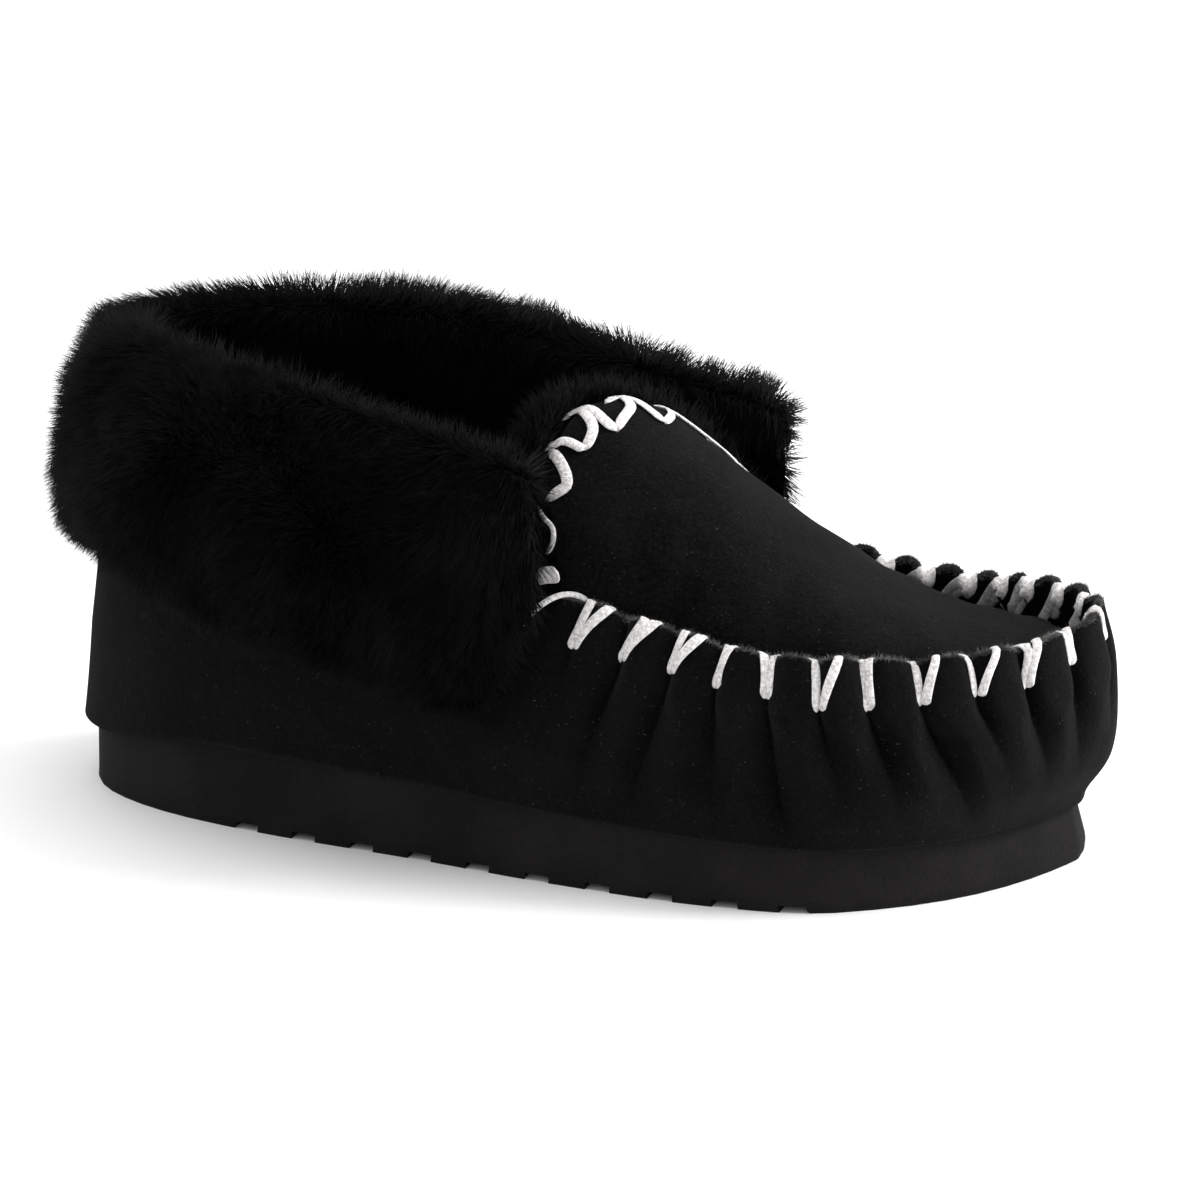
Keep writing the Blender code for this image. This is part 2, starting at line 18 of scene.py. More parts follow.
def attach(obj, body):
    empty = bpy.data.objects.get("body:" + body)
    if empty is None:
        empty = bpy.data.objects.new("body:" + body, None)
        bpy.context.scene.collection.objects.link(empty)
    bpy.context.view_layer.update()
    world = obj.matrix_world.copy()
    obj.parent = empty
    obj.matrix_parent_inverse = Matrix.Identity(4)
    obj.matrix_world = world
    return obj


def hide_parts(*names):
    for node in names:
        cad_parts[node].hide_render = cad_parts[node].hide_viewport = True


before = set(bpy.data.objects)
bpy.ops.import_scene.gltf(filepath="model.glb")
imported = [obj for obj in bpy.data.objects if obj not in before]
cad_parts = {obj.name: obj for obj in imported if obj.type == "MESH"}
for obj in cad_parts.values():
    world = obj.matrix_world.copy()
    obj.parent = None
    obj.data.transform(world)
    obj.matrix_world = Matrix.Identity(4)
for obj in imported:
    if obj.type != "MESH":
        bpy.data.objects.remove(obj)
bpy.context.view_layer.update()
MM = 0.001
print("plain pieces:", ", ".join(sorted(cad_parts)))

# %% [markdown]
# ## The camera
#
# The shoe is seen from its outer side, turned a little towards its toe, and from slightly above. A long
# lens from 1.3 m away keeps the sole's lines nearly parallel. The camera's own right, up and back
# directions are worked out from two angles, so the framing can be given along them.

# %% Stand the camera
AZIMUTH = math.radians(20)
ELEVATION = math.radians(17.72)
CAMERA_DISTANCE = 1.300
CAMERA_RIGHT = Vector((math.cos(AZIMUTH), math.sin(AZIMUTH), 0))
CAMERA_BACK = Vector((
    math.sin(AZIMUTH) * math.cos(ELEVATION),
    -math.cos(AZIMUTH) * math.cos(ELEVATION),
    math.sin(ELEVATION),
))
CAMERA_UP = CAMERA_BACK.cross(CAMERA_RIGHT)
MOVED_RIGHT = 0.00593
MOVED_UP = 0.05316

bpy.ops.object.camera_add()
camera = bpy.context.object
camera.name = "camera"
camera.data.sensor_width = 36
camera.data.lens = 155.72
place = CAMERA_RIGHT * MOVED_RIGHT + CAMERA_UP * MOVED_UP + CAMERA_BACK * CAMERA_DISTANCE
turn = Matrix((CAMERA_RIGHT, CAMERA_UP, CAMERA_BACK)).transposed()
camera.matrix_world = Matrix.Translation(place) @ turn.to_4x4()
bpy.context.scene.camera = camera
print("camera at", [round(value, 3) for value in camera.location])

# %% [markdown]
# ## Nodes as sums
#
# A finish is a chain of shader nodes, and most of them do arithmetic. The Signal class wraps the output
# of a node, so that Python's own signs add the Math nodes, and the Finish class adds every other node
# with one method. That keeps each material below as short as its idea.

# %% Wrap the shader nodes
class Signal:
    """One output of a shader node, which Python's arithmetic signs work on."""

    def __init__(self, finish, link):
        self.finish = finish
        self.link = link

    def join(self, operation, first, second):
        return self.finish.node("ShaderNodeMath", {"operation": operation}, {0: first, 1: second})

    def __add__(self, other):
        return self.join("ADD", self, other)

    def __radd__(self, other):
        return self.join("ADD", other, self)

    def __sub__(self, other):
        return self.join("SUBTRACT", self, other)

    def __rsub__(self, other):
        return self.join("SUBTRACT", other, self)

    def __mul__(self, other):
        return self.join("MULTIPLY", self, other)

    def __rmul__(self, other):
        return self.join("MULTIPLY", other, self)


class Finish:
    """A material on the Principled shader. Its fixed values are set on the shader's own sockets."""

    def __init__(self, name, **fixed):
        self.material = bpy.data.materials.new(name)
        self.material.use_nodes = True
        self.tree = self.material.node_tree
        self.shader = self.tree.nodes["Principled BSDF"]
        for socket, value in fixed.items():
            self.shader.inputs[socket.replace("_", " ")].default_value = value

    def node(self, kind, settings=None, sockets=None, out=0):
        """Adds one node: its settings first, then a value or a link for each socket."""
        made = self.tree.nodes.new(kind)
        for name, value in (settings or {}).items():
            setattr(made, name, value)
        for name, value in (sockets or {}).items():
            self.feed(made.inputs[name], value)
        return Signal(self, made.outputs[out])

    def feed(self, socket, value):
        if isinstance(value, Signal):
            self.tree.links.new(value.link, socket)
        else:
            socket.default_value = value

    def set(self, socket, value):
        self.feed(self.shader.inputs[socket], value)

    def place(self):
        return self.node("ShaderNodeTexCoord", out="Object")

    def grain(self, per_metre, detail=3.0, rough=0.6, place=None):
        """Soft noise with about so many waves to a metre, from 0 to 1."""
        sockets = {"Vector": place or self.place(), "Scale": per_metre, "Detail": detail, "Roughness": rough}
        return self.node("ShaderNodeTexNoise", None, sockets)

    def between(self, signal, low, high):
        """0 below low and 1 above high, smooth between them."""
        settings = {"interpolation_type": "SMOOTHSTEP"}
        return self.node("ShaderNodeMapRange", settings, {0: signal, 1: low, 2: high})

    def mix(self, factor, first, second):
        """A colour between two others."""
        return self.node("ShaderNodeMix", {"data_type": "RGBA"}, {0: factor, 6: first, 7: second}, out=2)

    def bump(self, height, depth, strength=1.0):
        """Relief of so many metres, added to the shader."""
        sockets = {"Height": height, "Distance": depth, "Strength": strength}
        self.set("Normal", self.node("ShaderNodeBump", None, sockets))


def grey(value, warm=0.0):
    """A near-neutral colour of one brightness."""
    return (value * (1 + warm), value, value * (1 - warm), 1)


# %% [markdown]
# ## Black suede
#
# Suede is leather with its fibres raised: almost no gloss, a soft brightening where it turns away from
# the eye, and a nap that catches lint. Sheen gives the brightening, fine noise in the bump gives the
# nap, and a sharp cut of a finer noise scatters the lint. In the gathers light and shade are painted
# into the colour, a painted highlight on the ridges and painted shade in the folds, so the wall carries
# a number for that at every point. Where the suede is cut, its raw edge shows paler.

# %% Mix the suede
def lint(finish, color, amount):
    """Pale specks of dust caught in the nap."""
    specks = finish.grain(1700, detail=1, rough=0.3)
    clouds = finish.grain(45, detail=2)
    caught = finish.between(specks + clouds * 0.12, 0.79, 0.87)
    return finish.mix(caught * amount, color, (0.075, 0.072, 0.070, 1))


def suede(name, dark, light, warm=0.0, folds=False):
    finish = Finish(name, Roughness=0.95, Sheen_Weight=0.03, Sheen_Roughness=0.5, Specular_IOR_Level=0.03)
    nap = finish.grain(1150, detail=4, rough=0.9)
    stroke = finish.grain(60, detail=5, rough=0.62)
    shade = finish.between(stroke * 0.3 + nap * 0.7, 0.42, 0.58)
    # painted light and shade: the fold attribute lightens the ridges of the gathers (painted highlight) and
    # darkens the folds (painted shade)
    if folds:
        shade = shade * 0.5 + finish.node("ShaderNodeAttribute", {"attribute_name": "fold"}, out="Fac")
    color = finish.mix(shade, grey(dark, warm), grey(light, warm))
    finish.set("Base Color", lint(finish, color, 0.5))
    finish.bump(nap * 0.6 + finish.grain(420, detail=3) * 0.4, 0.0007, 1.0)
    return finish.material


# the wall's suede carries painted light and shade in its gathers, through the fold attribute
WALL_SUEDE = suede("suede_wall", 0.0001, 0.0044, folds=True)
CUT_SUEDE = suede("suede_cut_edge", 0.006, 0.030, warm=0.04)
APRON_SUEDE = suede("suede_apron", 0.0001, 0.0042, warm=0.05)
print("suede mixed:", WALL_SUEDE.name, APRON_SUEDE.name)

# %% [markdown]
# ## Measuring the shoe
#
# The sole's outline is the ruler for everything round the shoe. Rays sent out from the middle of the
# sole, just under its top, find the outline from the heel round by the outer side to the toe and back.
# It is then divided evenly along its length, so that a place round the shoe is one number, its run.

# %% Measure the sole's outline
COLUMNS = 1000
OUTLINE_HEIGHT = 0.0118


def tree_of(node):
    """A search tree over a plain piece, for rays and nearest points."""
    graph = bpy.context.evaluated_depsgraph_get()
    return BVHTree.FromObject(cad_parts[node], graph)


def bell(distance, width):
    return np.exp(-0.5 * (distance / width) ** 2)


def step_up(values, start, end):
    """0 before start, 1 after end, smooth between them."""
    u = np.clip((values - start) / (end - start), 0, 1)
    return u * u * (3 - 2 * u)


def plateau(values, start, end, fringe):
    """1 from start to end, falling smoothly to 0 on both sides."""
    return bell(np.minimum(values - start, 0), fringe) * bell(np.maximum(values - end, 0), fringe)


def unit(vectors):
    return vectors / (np.linalg.norm(vectors, axis=-1, keepdims=True) + 1e-12)


def evened(line, rounds=1):
    """An open run of values, each drawn half way to its two neighbours."""
    for _ in range(rounds):
        line[1:-1] = line[1:-1] / 2 + (line[:-2] + line[2:]) / 4
    return line


def averaged(values, weights):
    """A closed run of values, each a weighted mean of its neighbours."""
    spread = np.fft.fft(weights / weights.sum()).reshape((-1,) + (1,) * (values.ndim - 1))
    return np.real(np.fft.ifft(np.fft.fft(values, axis=0) * spread, axis=0))


def tree_through(points):
    """A search tree over points."""
    tree = KDTree(len(points))
    for i, point in enumerate(points):
        tree.insert(point, i)
    tree.balance()
    return tree


def softened(values, width):
    """A closed run of values with a bell-shaped average over so many of its neighbours."""
    reach = np.arange(len(values))
    return averaged(values, bell(np.minimum(reach, len(values) - reach), width))


def sole_outline():
    """The outline's points and outward directions, evenly spaced, and their spacing."""
    sole = tree_of("outsole")
    hits = []
    for angle in np.linspace(math.pi, 3 * math.pi, 1440, endpoint=False):
        ray = Vector((math.cos(angle), math.sin(angle), 0))
        hits.append(sole.ray_cast(Vector((0, 0, OUTLINE_HEIGHT)), ray)[0][:2])
    loop = np.array(hits)
    closed = np.vstack([loop, loop[:1]])
    run = np.concatenate([[0], np.cumsum(np.linalg.norm(np.diff(closed, axis=0), axis=1))])
    even = np.linspace(0, run[-1], COLUMNS, endpoint=False)
    points = np.column_stack([np.interp(even, run, closed[:, axis]) for axis in (0, 1)])
    points = softened(points, 3)
    along = np.roll(points, -5, axis=0) - np.roll(points, 5, axis=0)
    along /= np.linalg.norm(along, axis=1)[:, None]
    return points, np.column_stack([along[:, 1], -along[:, 0]]), run[-1] / COLUMNS


OUTLINE, OUTWARD, STEP = sole_outline()
TOE = int(np.argmax(OUTLINE[:, 0]))
print(f"outline {STEP * COLUMNS / MM:.0f} mm long, toe at {TOE * STEP / MM:.0f} mm")

# %% [markdown]
# The side wall is measured the same way, with level rays sent in from outside the outline. For each
# place round the shoe they give the height of the wall's top and foot, and how far its outer face
# stands from the outline at each level between them.

# %% Measure the side wall
MEASURED_LEVELS = (0.004, 0.14, 0.34, 0.58, 0.80, 0.996)
OUTER_ROWS = 48
RAY_START = 0.040
RAY_REACH = 0.075


def wall_hit(wall, column, height):
    """How far outside the outline the wall's outer face stands at a height, or None past its edges."""
    start = OUTLINE[column] + OUTWARD[column] * RAY_START
    ray = Vector((*-OUTWARD[column], 0))
    found = wall.ray_cast(Vector((*start, height)), ray, RAY_REACH)
    return None if found[0] is None else RAY_START - found[3]


def wall_limit(wall, column, inside, outside):
    """The height, between one on the wall and one off it, where the wall ends."""
    for _ in range(12):
        middle = (inside + outside) / 2
        if wall_hit(wall, column, middle) is None:
            outside = middle
        else:
            inside = middle
    return inside


def measure_wall():
    wall = tree_of("upper")
    tops = np.array([wall_limit(wall, k, 0.035, 0.125) for k in range(COLUMNS)])
    feet = np.array([wall_limit(wall, k, 0.030, 0.008) for k in range(COLUMNS)])
    stands = np.empty((COLUMNS, len(MEASURED_LEVELS)))
    for k in range(COLUMNS):
        for j, level in enumerate(MEASURED_LEVELS):
            stands[k, j] = wall_hit(wall, k, feet[k] + (tops[k] - feet[k]) * level)
    return tops, feet, stands


WALL_TOP, WALL_FOOT, WALL_STAND = measure_wall()
print(f"wall top {WALL_TOP.min() / MM:.0f} to {WALL_TOP.max() / MM:.0f} mm")

# %% [markdown]
# The plain wall has even pleats, three flat faces to each. The real gathers are softer and no two are
# alike, so the plain ones are ironed out first: in the low part of the wall each measure is averaged
# over one whole pleat. The corners between the plain model's faces are rounded the same way.

# %% Iron the plain pleats
PLEAT = 0.0125
PLEAT_COLUMNS = round(PLEAT / STEP)
LOW_WALL = 0.070


def ironed(values):
    """The mean over one whole pleat."""
    box = np.zeros(COLUMNS)
    box[np.arange(-PLEAT_COLUMNS // 2 + 1, PLEAT_COLUMNS // 2 + 1)] = 1
    return averaged(values, box)


low = (WALL_TOP < LOW_WALL).astype(float)
inside_low = (ironed(low) > 0.98).astype(float)
GATHERED = np.clip(softened(inside_low, 7), 0, 1)
WALL_TOP = ironed(WALL_TOP) * GATHERED + softened(WALL_TOP, 3) * (1 - GATHERED)
WALL_STAND = ironed(WALL_STAND) * GATHERED[:, None] + softened(WALL_STAND, 4) * (1 - GATHERED[:, None])
WALL_FOOT = softened(WALL_FOOT, 4)

# %% [markdown]
# Behind each end of the apron's seam the wall climbs steeply to the collar. The fur hides that climb on
# the real shoe, so it is moved back under the cuff, and the wall's end dips in a low arch. At the toe
# the suede is full: it stands out further than the plain wall, and is tucked in again above the sole.

# %% Tuck the wall's climb under the fur
CLIMB_HEIGHT = 0.085
CLIMB_BACK = 0.013
CLIMB_DIP = 0.002
RIM_DROP = 0.0015
TOE_FULL = 0.0013
TOE_TUCK = 0.0034
HEEL_FULL = 0.0012


COLUMN_RUN = np.arange(COLUMNS) * STEP
below = WALL_TOP < CLIMB_HEIGHT
LATERAL_CLIMB = COLUMN_RUN[np.argmax(below)]
MEDIAL_CLIMB = COLUMN_RUN[COLUMNS - 1 - np.argmax(below[::-1])]


sources = COLUMN_RUN + CLIMB_BACK * (
    plateau(COLUMN_RUN, LATERAL_CLIMB - 0.014, LATERAL_CLIMB - 0.006, 0.009)
    - plateau(COLUMN_RUN, MEDIAL_CLIMB + 0.006, MEDIAL_CLIMB + 0.014, 0.009)
)
dip = bell(COLUMN_RUN - LATERAL_CLIMB + 0.009, 0.004) + bell(COLUMN_RUN - MEDIAL_CLIMB - 0.009, 0.004)
WALL_TOP = np.interp(sources, COLUMN_RUN, WALL_TOP) - CLIMB_DIP * dip
WALL_TOP -= RIM_DROP * (plateau(COLUMN_RUN, 0.174, 0.296, 0.005) + plateau(COLUMN_RUN, 0.251, 0.282, 0.006))
WALL_STAND = np.column_stack([np.interp(sources, COLUMN_RUN, column) for column in WALL_STAND.T])
print(f"climbs at {LATERAL_CLIMB / MM:.0f} and {MEDIAL_CLIMB / MM:.0f} mm")

levels = np.linspace(0, 1, OUTER_ROWS)
OUTER = np.array([np.interp(levels, MEASURED_LEVELS, row) for row in WALL_STAND])
evened(OUTER.T, rounds=14)
toeward = bell(COLUMN_RUN - TOE * STEP, 0.045)
tucked = bell(COLUMN_RUN - TOE * STEP, 0.036)
heelward = bell(np.minimum(COLUMN_RUN, STEP * COLUMNS - COLUMN_RUN), 0.035)
OUTER += TOE_FULL * toeward[:, None] * np.sin(math.pi / 2 * np.clip((levels - 0.1) / 0.4, 0, 1))
OUTER += HEEL_FULL * heelward[:, None] * (1 - 0.7 * levels)
print(f"gathers run along {GATHERED.sum() * STEP / MM:.0f} mm of the wall")

# %% [markdown]
# ## The gathers
#
# Each lace hole pulls the suede in. From the hole a crease runs down the wall and dies out, and between
# two holes the suede bulges as a lobe with a domed top. Every crease on the near side has its own place,
# lean, length and depth, judged from the real shoe. The far side, which hardly shows, is evenly
# gathered with small differences from crease to crease.

# %% Place the gathers
HOLE_LEVEL = 0.755
HOLE_DEPTH = 0.0031
RIM_DEPTH = 0.0018
LOBE_RISE = 0.0021
LOBE_BULGE = 0.0009
FAR_RISE = 0.9
PINCH_HEIGHT = 0.004
PINCH_SOFT = 4.5
FAR_RUNS = (308, 319.5, 331, 342.8, 351.4, 362, 374.7, 388, 401)

# run from the heel, lean of the lower end, length below the hole, depth and softness of the fold
NEAR_CREASES = (
    (161.8, -4, 24, 1.8, 1.9),
    (174, -7, 31, 2.8, 1.6),
    (187, -8, 38, 4.6, 1.35),
    (199, 4, 28, 3.6, 1.4),
    (212.3, 9, 37, 5.4, 1.45),
    (226, 6, 24, 3.4, 1.8),
    (238.5, 7, 26, 4.0, 1.6),
    (252, 14, 33, 5.8, 1.4),
    (266, 6, 18, 2.2, 2.2),
    (279.5, 5, 25, 3.8, 1.3),
    (294, -1, 24, 3.2, 1.4),
)


def far_creases():
    """Rows for the rest of the gathers, round the toe to the inner side."""
    draw = np.random.default_rng(11)
    rows = []
    for run in FAR_RUNS:
        rows.append((run, draw.uniform(-6, 3), draw.uniform(14, 24), draw.uniform(1.4, 2.8), 2.0))
    return rows


CREASES = np.array([*NEAR_CREASES, *far_creases()]) * (MM, MM, MM, MM, 1)
CREASE_RUNS = CREASES[:, 0]
print(len(CREASES), "gathers")


def gather(run, height, top, foot):
    """How far a gathered wall lies inside the plain one, and its share of the way to a crease."""
    hole = foot + (top - foot) * HOLE_LEVEL
    below = np.maximum(hole - height, 0)
    above = np.clip((height - hole) / (top - hole), 0, 1)
    lean = CREASES[:, 1] * np.clip(below[..., None] / CREASES[:, 2], 0, 1.3)
    places = CREASE_RUNS + lean
    first = places[..., :1] - PLEAT
    last = places[..., -1:] + PLEAT
    fence = np.concatenate([first, places, last], axis=-1)
    nearest = np.argmin(np.abs(fence - run[..., None]), axis=-1)
    near = np.take_along_axis(fence, nearest[..., None], axis=-1)[..., 0]
    side = np.where(run >= near, 1, -1)
    other = np.clip(nearest + side, 0, fence.shape[-1] - 1)
    beyond = np.take_along_axis(fence, other[..., None], axis=-1)[..., 0]
    half = np.maximum(np.abs(beyond - near) / 2, 1e-6)
    to_crease = 1 - np.clip(np.abs(run - near) / half, 0, 1)
    real = (nearest > 0) & (nearest < fence.shape[-1] - 1)
    pick = np.clip(nearest - 1, 0, len(CREASES) - 1)
    length = CREASES[pick, 2]
    depth = CREASES[pick, 3]
    soft = CREASES[pick, 4]
    dying = np.clip(1 - below / length, 0, 1)
    dying = dying * dying * (3 - 2 * dying)
    pinch = np.exp(-(below / PINCH_HEIGHT) ** 2)
    deep = np.where(below > 0, depth * dying * (1 - pinch) + HOLE_DEPTH * pinch,
                    HOLE_DEPTH + (RIM_DEPTH - HOLE_DEPTH) * above)
    sharp = np.where(below > 0, soft + (PINCH_SOFT - soft) * pinch, PINCH_SOFT - 1.6 * above)
    pull = deep * to_crease ** sharp * real
    return pull, to_crease * real


# %% [markdown]
# ## The side wall
#
# The wall is one strip of suede about 2.4 mm thick. It rises from the sole, bulges, leans in to its top
# edge and comes back down inside, so its section is a closed loop. A plane of small squares is a good
# start: one direction becomes the way round the shoe, the other the way round the section, and the two
# pairs of edges that meet are merged.

# %% Model the side wall
THICKNESS = 0.0024
RIM_ROWS = 5
INNER_ROWS = 16
MARGIN = 0.011
SEAT_GAP = 0.0003
LIP_GAP = 0.0006
DRIFT = 0.0009
# levels of the painted light and shade on the gathers: the even level, the painted highlight on ridges, the
# painted shade in folds
PAINTED_LIGHT_LEVEL = 0.20
RIDGE_PAINTED_LIGHT = 0.24
FOLD_PAINTED_SHADE = 0.36


def only(thing):
    """Selects one object and makes it the active one."""
    bpy.ops.object.select_all(action="DESELECT")
    thing.select_set(True)
    bpy.context.view_layer.objects.active = thing
    return thing


def edit(*steps):
    """Runs steps of edit mode, each on everything in the active mesh."""
    bpy.ops.object.mode_set(mode="EDIT")
    for step in steps:
        bpy.ops.mesh.select_all(action="SELECT")
        step()
    bpy.ops.object.mode_set(mode="OBJECT")


def weld():
    bpy.ops.mesh.remove_doubles(threshold=0.00001)


def face_out():
    bpy.ops.mesh.normals_make_consistent(inside=False)


def points_of(thing):
    co = np.empty(len(thing.data.vertices) * 3)
    thing.data.vertices.foreach_get("co", co)
    return co.reshape(-1, 3)


def put_points(thing, points):
    thing.data.vertices.foreach_set("co", np.asarray(points, float).ravel())
    thing.data.update()


def cloth_sheet(name, grid, fold=None):
    """A mesh through a grid of points, shaped from Blender's own grid, with a number for each point."""
    across, along = grid.shape[1] - 1, grid.shape[0] - 1
    bpy.ops.object.select_all(action="DESELECT")
    bpy.ops.mesh.primitive_grid_add(x_subdivisions=along, y_subdivisions=across, size=1)
    thing = bpy.context.object
    thing.name = name
    flat = points_of(thing)
    columns = np.rint((flat[:, 0] + 0.5) * along).astype(int)
    rows = np.rint((flat[:, 1] + 0.5) * across).astype(int)
    put_points(thing, grid[columns, rows])
    if fold is not None:
        thing.data.attributes.new("fold", "FLOAT", "POINT").data.foreach_set("value", fold[columns, rows])
    return thing


def finish_piece(thing, material, *, angle=None):
    """Smooth shading and a finish."""
    only(thing)
    if angle is None:
        bpy.ops.object.shade_smooth()
    else:
        bpy.ops.object.shade_smooth_by_angle(angle=math.radians(angle))
    thing.data.materials.clear()
    thing.data.materials.append(material)
    print(thing.name, len(thing.data.polygons), "faces")
    return thing


def wall_sections():
    """The wall's closed section at every place, as outward offset and height, and its painted light and
    shade.
    """
    runs = np.arange(COLUMNS)[:, None] * STEP + np.zeros(OUTER_ROWS)
    top = WALL_TOP[:, None]
    foot = WALL_FOOT[:, None]
    height = foot + (top - foot) * levels
    pull, to_crease = gather(runs, height, top, foot)
    gathered = GATHERED[:, None]
    up = np.clip((levels - 0.30) / 0.6, 0, 1) ** 1.5
    out = OUTER - pull * gathered + LOBE_BULGE * (1 - to_crease ** 2) * up * gathered
    rise = LOBE_RISE * (0.45 - to_crease ** 2.4) * np.clip((levels - 0.72) / 0.28, 0, 1) ** 1.5
    rise *= 1 + FAR_RISE * step_up(runs, 0.296, 0.322)
    height = height + rise * gathered
    drift = np.array([[noise.noise(Vector((*(OUTLINE[k] * 42), h * 60))) for h in height[k, ::4]]
                      for k in range(COLUMNS)])
    drift = np.array([np.interp(np.arange(OUTER_ROWS), np.arange(0, OUTER_ROWS, 4), row) for row in drift])
    out = out + drift * DRIFT * np.sin(math.pi * levels) ** 0.5
    along_out = np.gradient(out, axis=1)
    along_up = np.gradient(height, axis=1)
    size = np.hypot(along_out, along_up)
    in_out, in_up = -along_up / size, along_out / size
    inner_at = np.linspace(OUTER_ROWS - 1, 4, INNER_ROWS).astype(int)
    inner = np.stack([out + in_out * THICKNESS, height + in_up * THICKNESS], axis=-1)[:, inner_at]
    outer = np.stack([out, height], axis=-1)
    last_out, last_in = outer[:, -1], inner[:, 0]
    middle = (last_out + last_in) / 2
    arm = (last_out - last_in) / 2
    upright = np.stack([-arm[:, 1], arm[:, 0]], axis=-1)
    turns = np.linspace(0, math.pi, RIM_ROWS + 2)[1:-1]
    rim = np.stack([middle + arm * math.cos(a) + upright * math.sin(a) for a in turns], axis=1)
    sole = tree_of("outsole")
    above_sole = [Vector((*flat, 0.05)) for flat in OUTLINE - OUTWARD * 0.008]
    seat = np.array([sole.ray_cast(start, Vector((0, 0, -1)))[0][2] for start in above_sole])
    seat = softened(seat, 5) + SEAT_GAP
    inner_foot = inner[:, -1, 0]
    under = [
        np.stack([inner_foot, seat + THICKNESS], axis=-1),
        np.stack([np.full(COLUMNS, -MARGIN), seat + THICKNESS], axis=-1),
        np.stack([np.full(COLUMNS, -MARGIN), seat], axis=-1),
        np.stack([np.full(COLUMNS, LIP_GAP), seat], axis=-1),
        np.stack([np.full(COLUMNS, LIP_GAP), WALL_FOOT], axis=-1),
    ]
    sections = np.concatenate([outer, rim, inner, np.stack(under, axis=1)], axis=1)
    sections[..., 0] -= TOE_TUCK * tucked[:, None] * (1 - step_up(sections[..., 1], 0.015, 0.027))
    # painted light and shade: lighter on the ridges between creases (painted highlight), darker where a
    # crease pulls in (painted shade)
    painted_light_and_shade = np.full(sections.shape[:2], PAINTED_LIGHT_LEVEL)
    ridge_highlight = (1 - to_crease ** 1.3) * np.sin(math.pi * np.clip(levels, 0, 0.9)) ** 0.6
    painted_light_and_shade[:, :OUTER_ROWS] += (RIDGE_PAINTED_LIGHT * ridge_highlight - FOLD_PAINTED_SHADE * np.clip(pull / 0.0030, 0, 1)) * gathered
    return sections, painted_light_and_shade


def in_space(columns, offsets):
    """Points in space from places round the outline and their offset and height."""
    flat = OUTLINE[columns] + OUTWARD[columns] * offsets[..., :1]
    return np.concatenate([flat, offsets[..., 1:]], axis=-1)


def wrapped(grid):
    """A grid with its first row and column repeated at its end, so that it closes on itself."""
    grid = np.concatenate([grid, grid[:1]])
    return np.concatenate([grid, grid[:, :1]], axis=1)


SECTIONS, PAINTED_LIGHT_AND_SHADE = wall_sections()
WALL_GRID = np.stack([in_space(np.arange(COLUMNS), SECTIONS[:, j]) for j in range(SECTIONS.shape[1])], axis=1)
# the fold attribute on the wall holds its painted light and shade
wall = cloth_sheet("side_wall", wrapped(WALL_GRID), wrapped(PAINTED_LIGHT_AND_SHADE))
edit(weld, face_out)
finish_piece(wall, WALL_SUEDE)

RIM_LINE = WALL_GRID[:, OUTER_ROWS + RIM_ROWS // 2]
rim_tree = tree_through(RIM_LINE)
wall.data.materials.append(CUT_SUEDE)
cut = [rim_tree.find(face.center)[2] < 0.0011 for face in wall.data.polygons]
wall.data.polygons.foreach_set("material_index", np.array(cut, int))
print(sum(cut), "faces of cut edge")

# %% [markdown]
# ## The apron
#
# The apron is the smooth sheet over the toes and instep, whose rear end is the tongue. The plain one has
# the right arch in flat facets. A copy of it is merged, turned to squares and subdivided, which rounds
# the facets. Its edge is drawn in wherever a gather would press on it. The sheet is dented a little, as
# suede is over an empty toe, and lifted at the top of the tongue.

# %% Refine the apron
PUCKER_REACH = 0.009
TONGUE_TOP = (0.014, 0.004)
TONGUE_TOP_WIDTH = 0.013
TONGUE_LIFT = 0.0034
SINK_MIDDLE = (0.088, 0.010)
SINK = 0.0034
DENTS = 0.0007
APRON_GAP = 0.0003


def plain_copy(node, name):
    """A copy of a plain piece, with its loose triangles merged."""
    made = bpy.data.objects.new(name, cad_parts[node].data.copy())
    bpy.context.scene.collection.objects.link(made)
    only(made)
    edit(weld)
    return made


def apply_modifier(thing, kind, **settings):
    only(thing)
    bpy.ops.object.modifier_add(type=kind)
    modifier = thing.modifiers[-1]
    for name, value in settings.items():
        setattr(modifier, name, value)
    bpy.ops.object.modifier_apply(modifier=modifier.name)


def place_of(points):
    """The column of the outline nearest to each point, and how far outside the outline it stands."""
    columns = np.empty(len(points), int)
    for start in range(0, len(points), 2000):
        part = points[start:start + 2000, :2]
        columns[start:start + 2000] = np.argmin(((part[:, None] - OUTLINE) ** 2).sum(axis=2), axis=1)
    out = ((points[:, :2] - OUTLINE[columns]) * OUTWARD[columns]).sum(axis=1)
    return columns, out


INNER_ROW = OUTER_ROWS + RIM_ROWS


def inner_face_at(columns, heights):
    """The outward offset of the wall's inner face at a place and a height."""
    faces = np.empty(len(columns))
    for i, (k, z) in enumerate(zip(columns, heights)):
        inner = SECTIONS[k, INNER_ROW:INNER_ROW + INNER_ROWS]
        faces[i] = np.interp(z, inner[::-1, 1], inner[::-1, 0])
    return faces


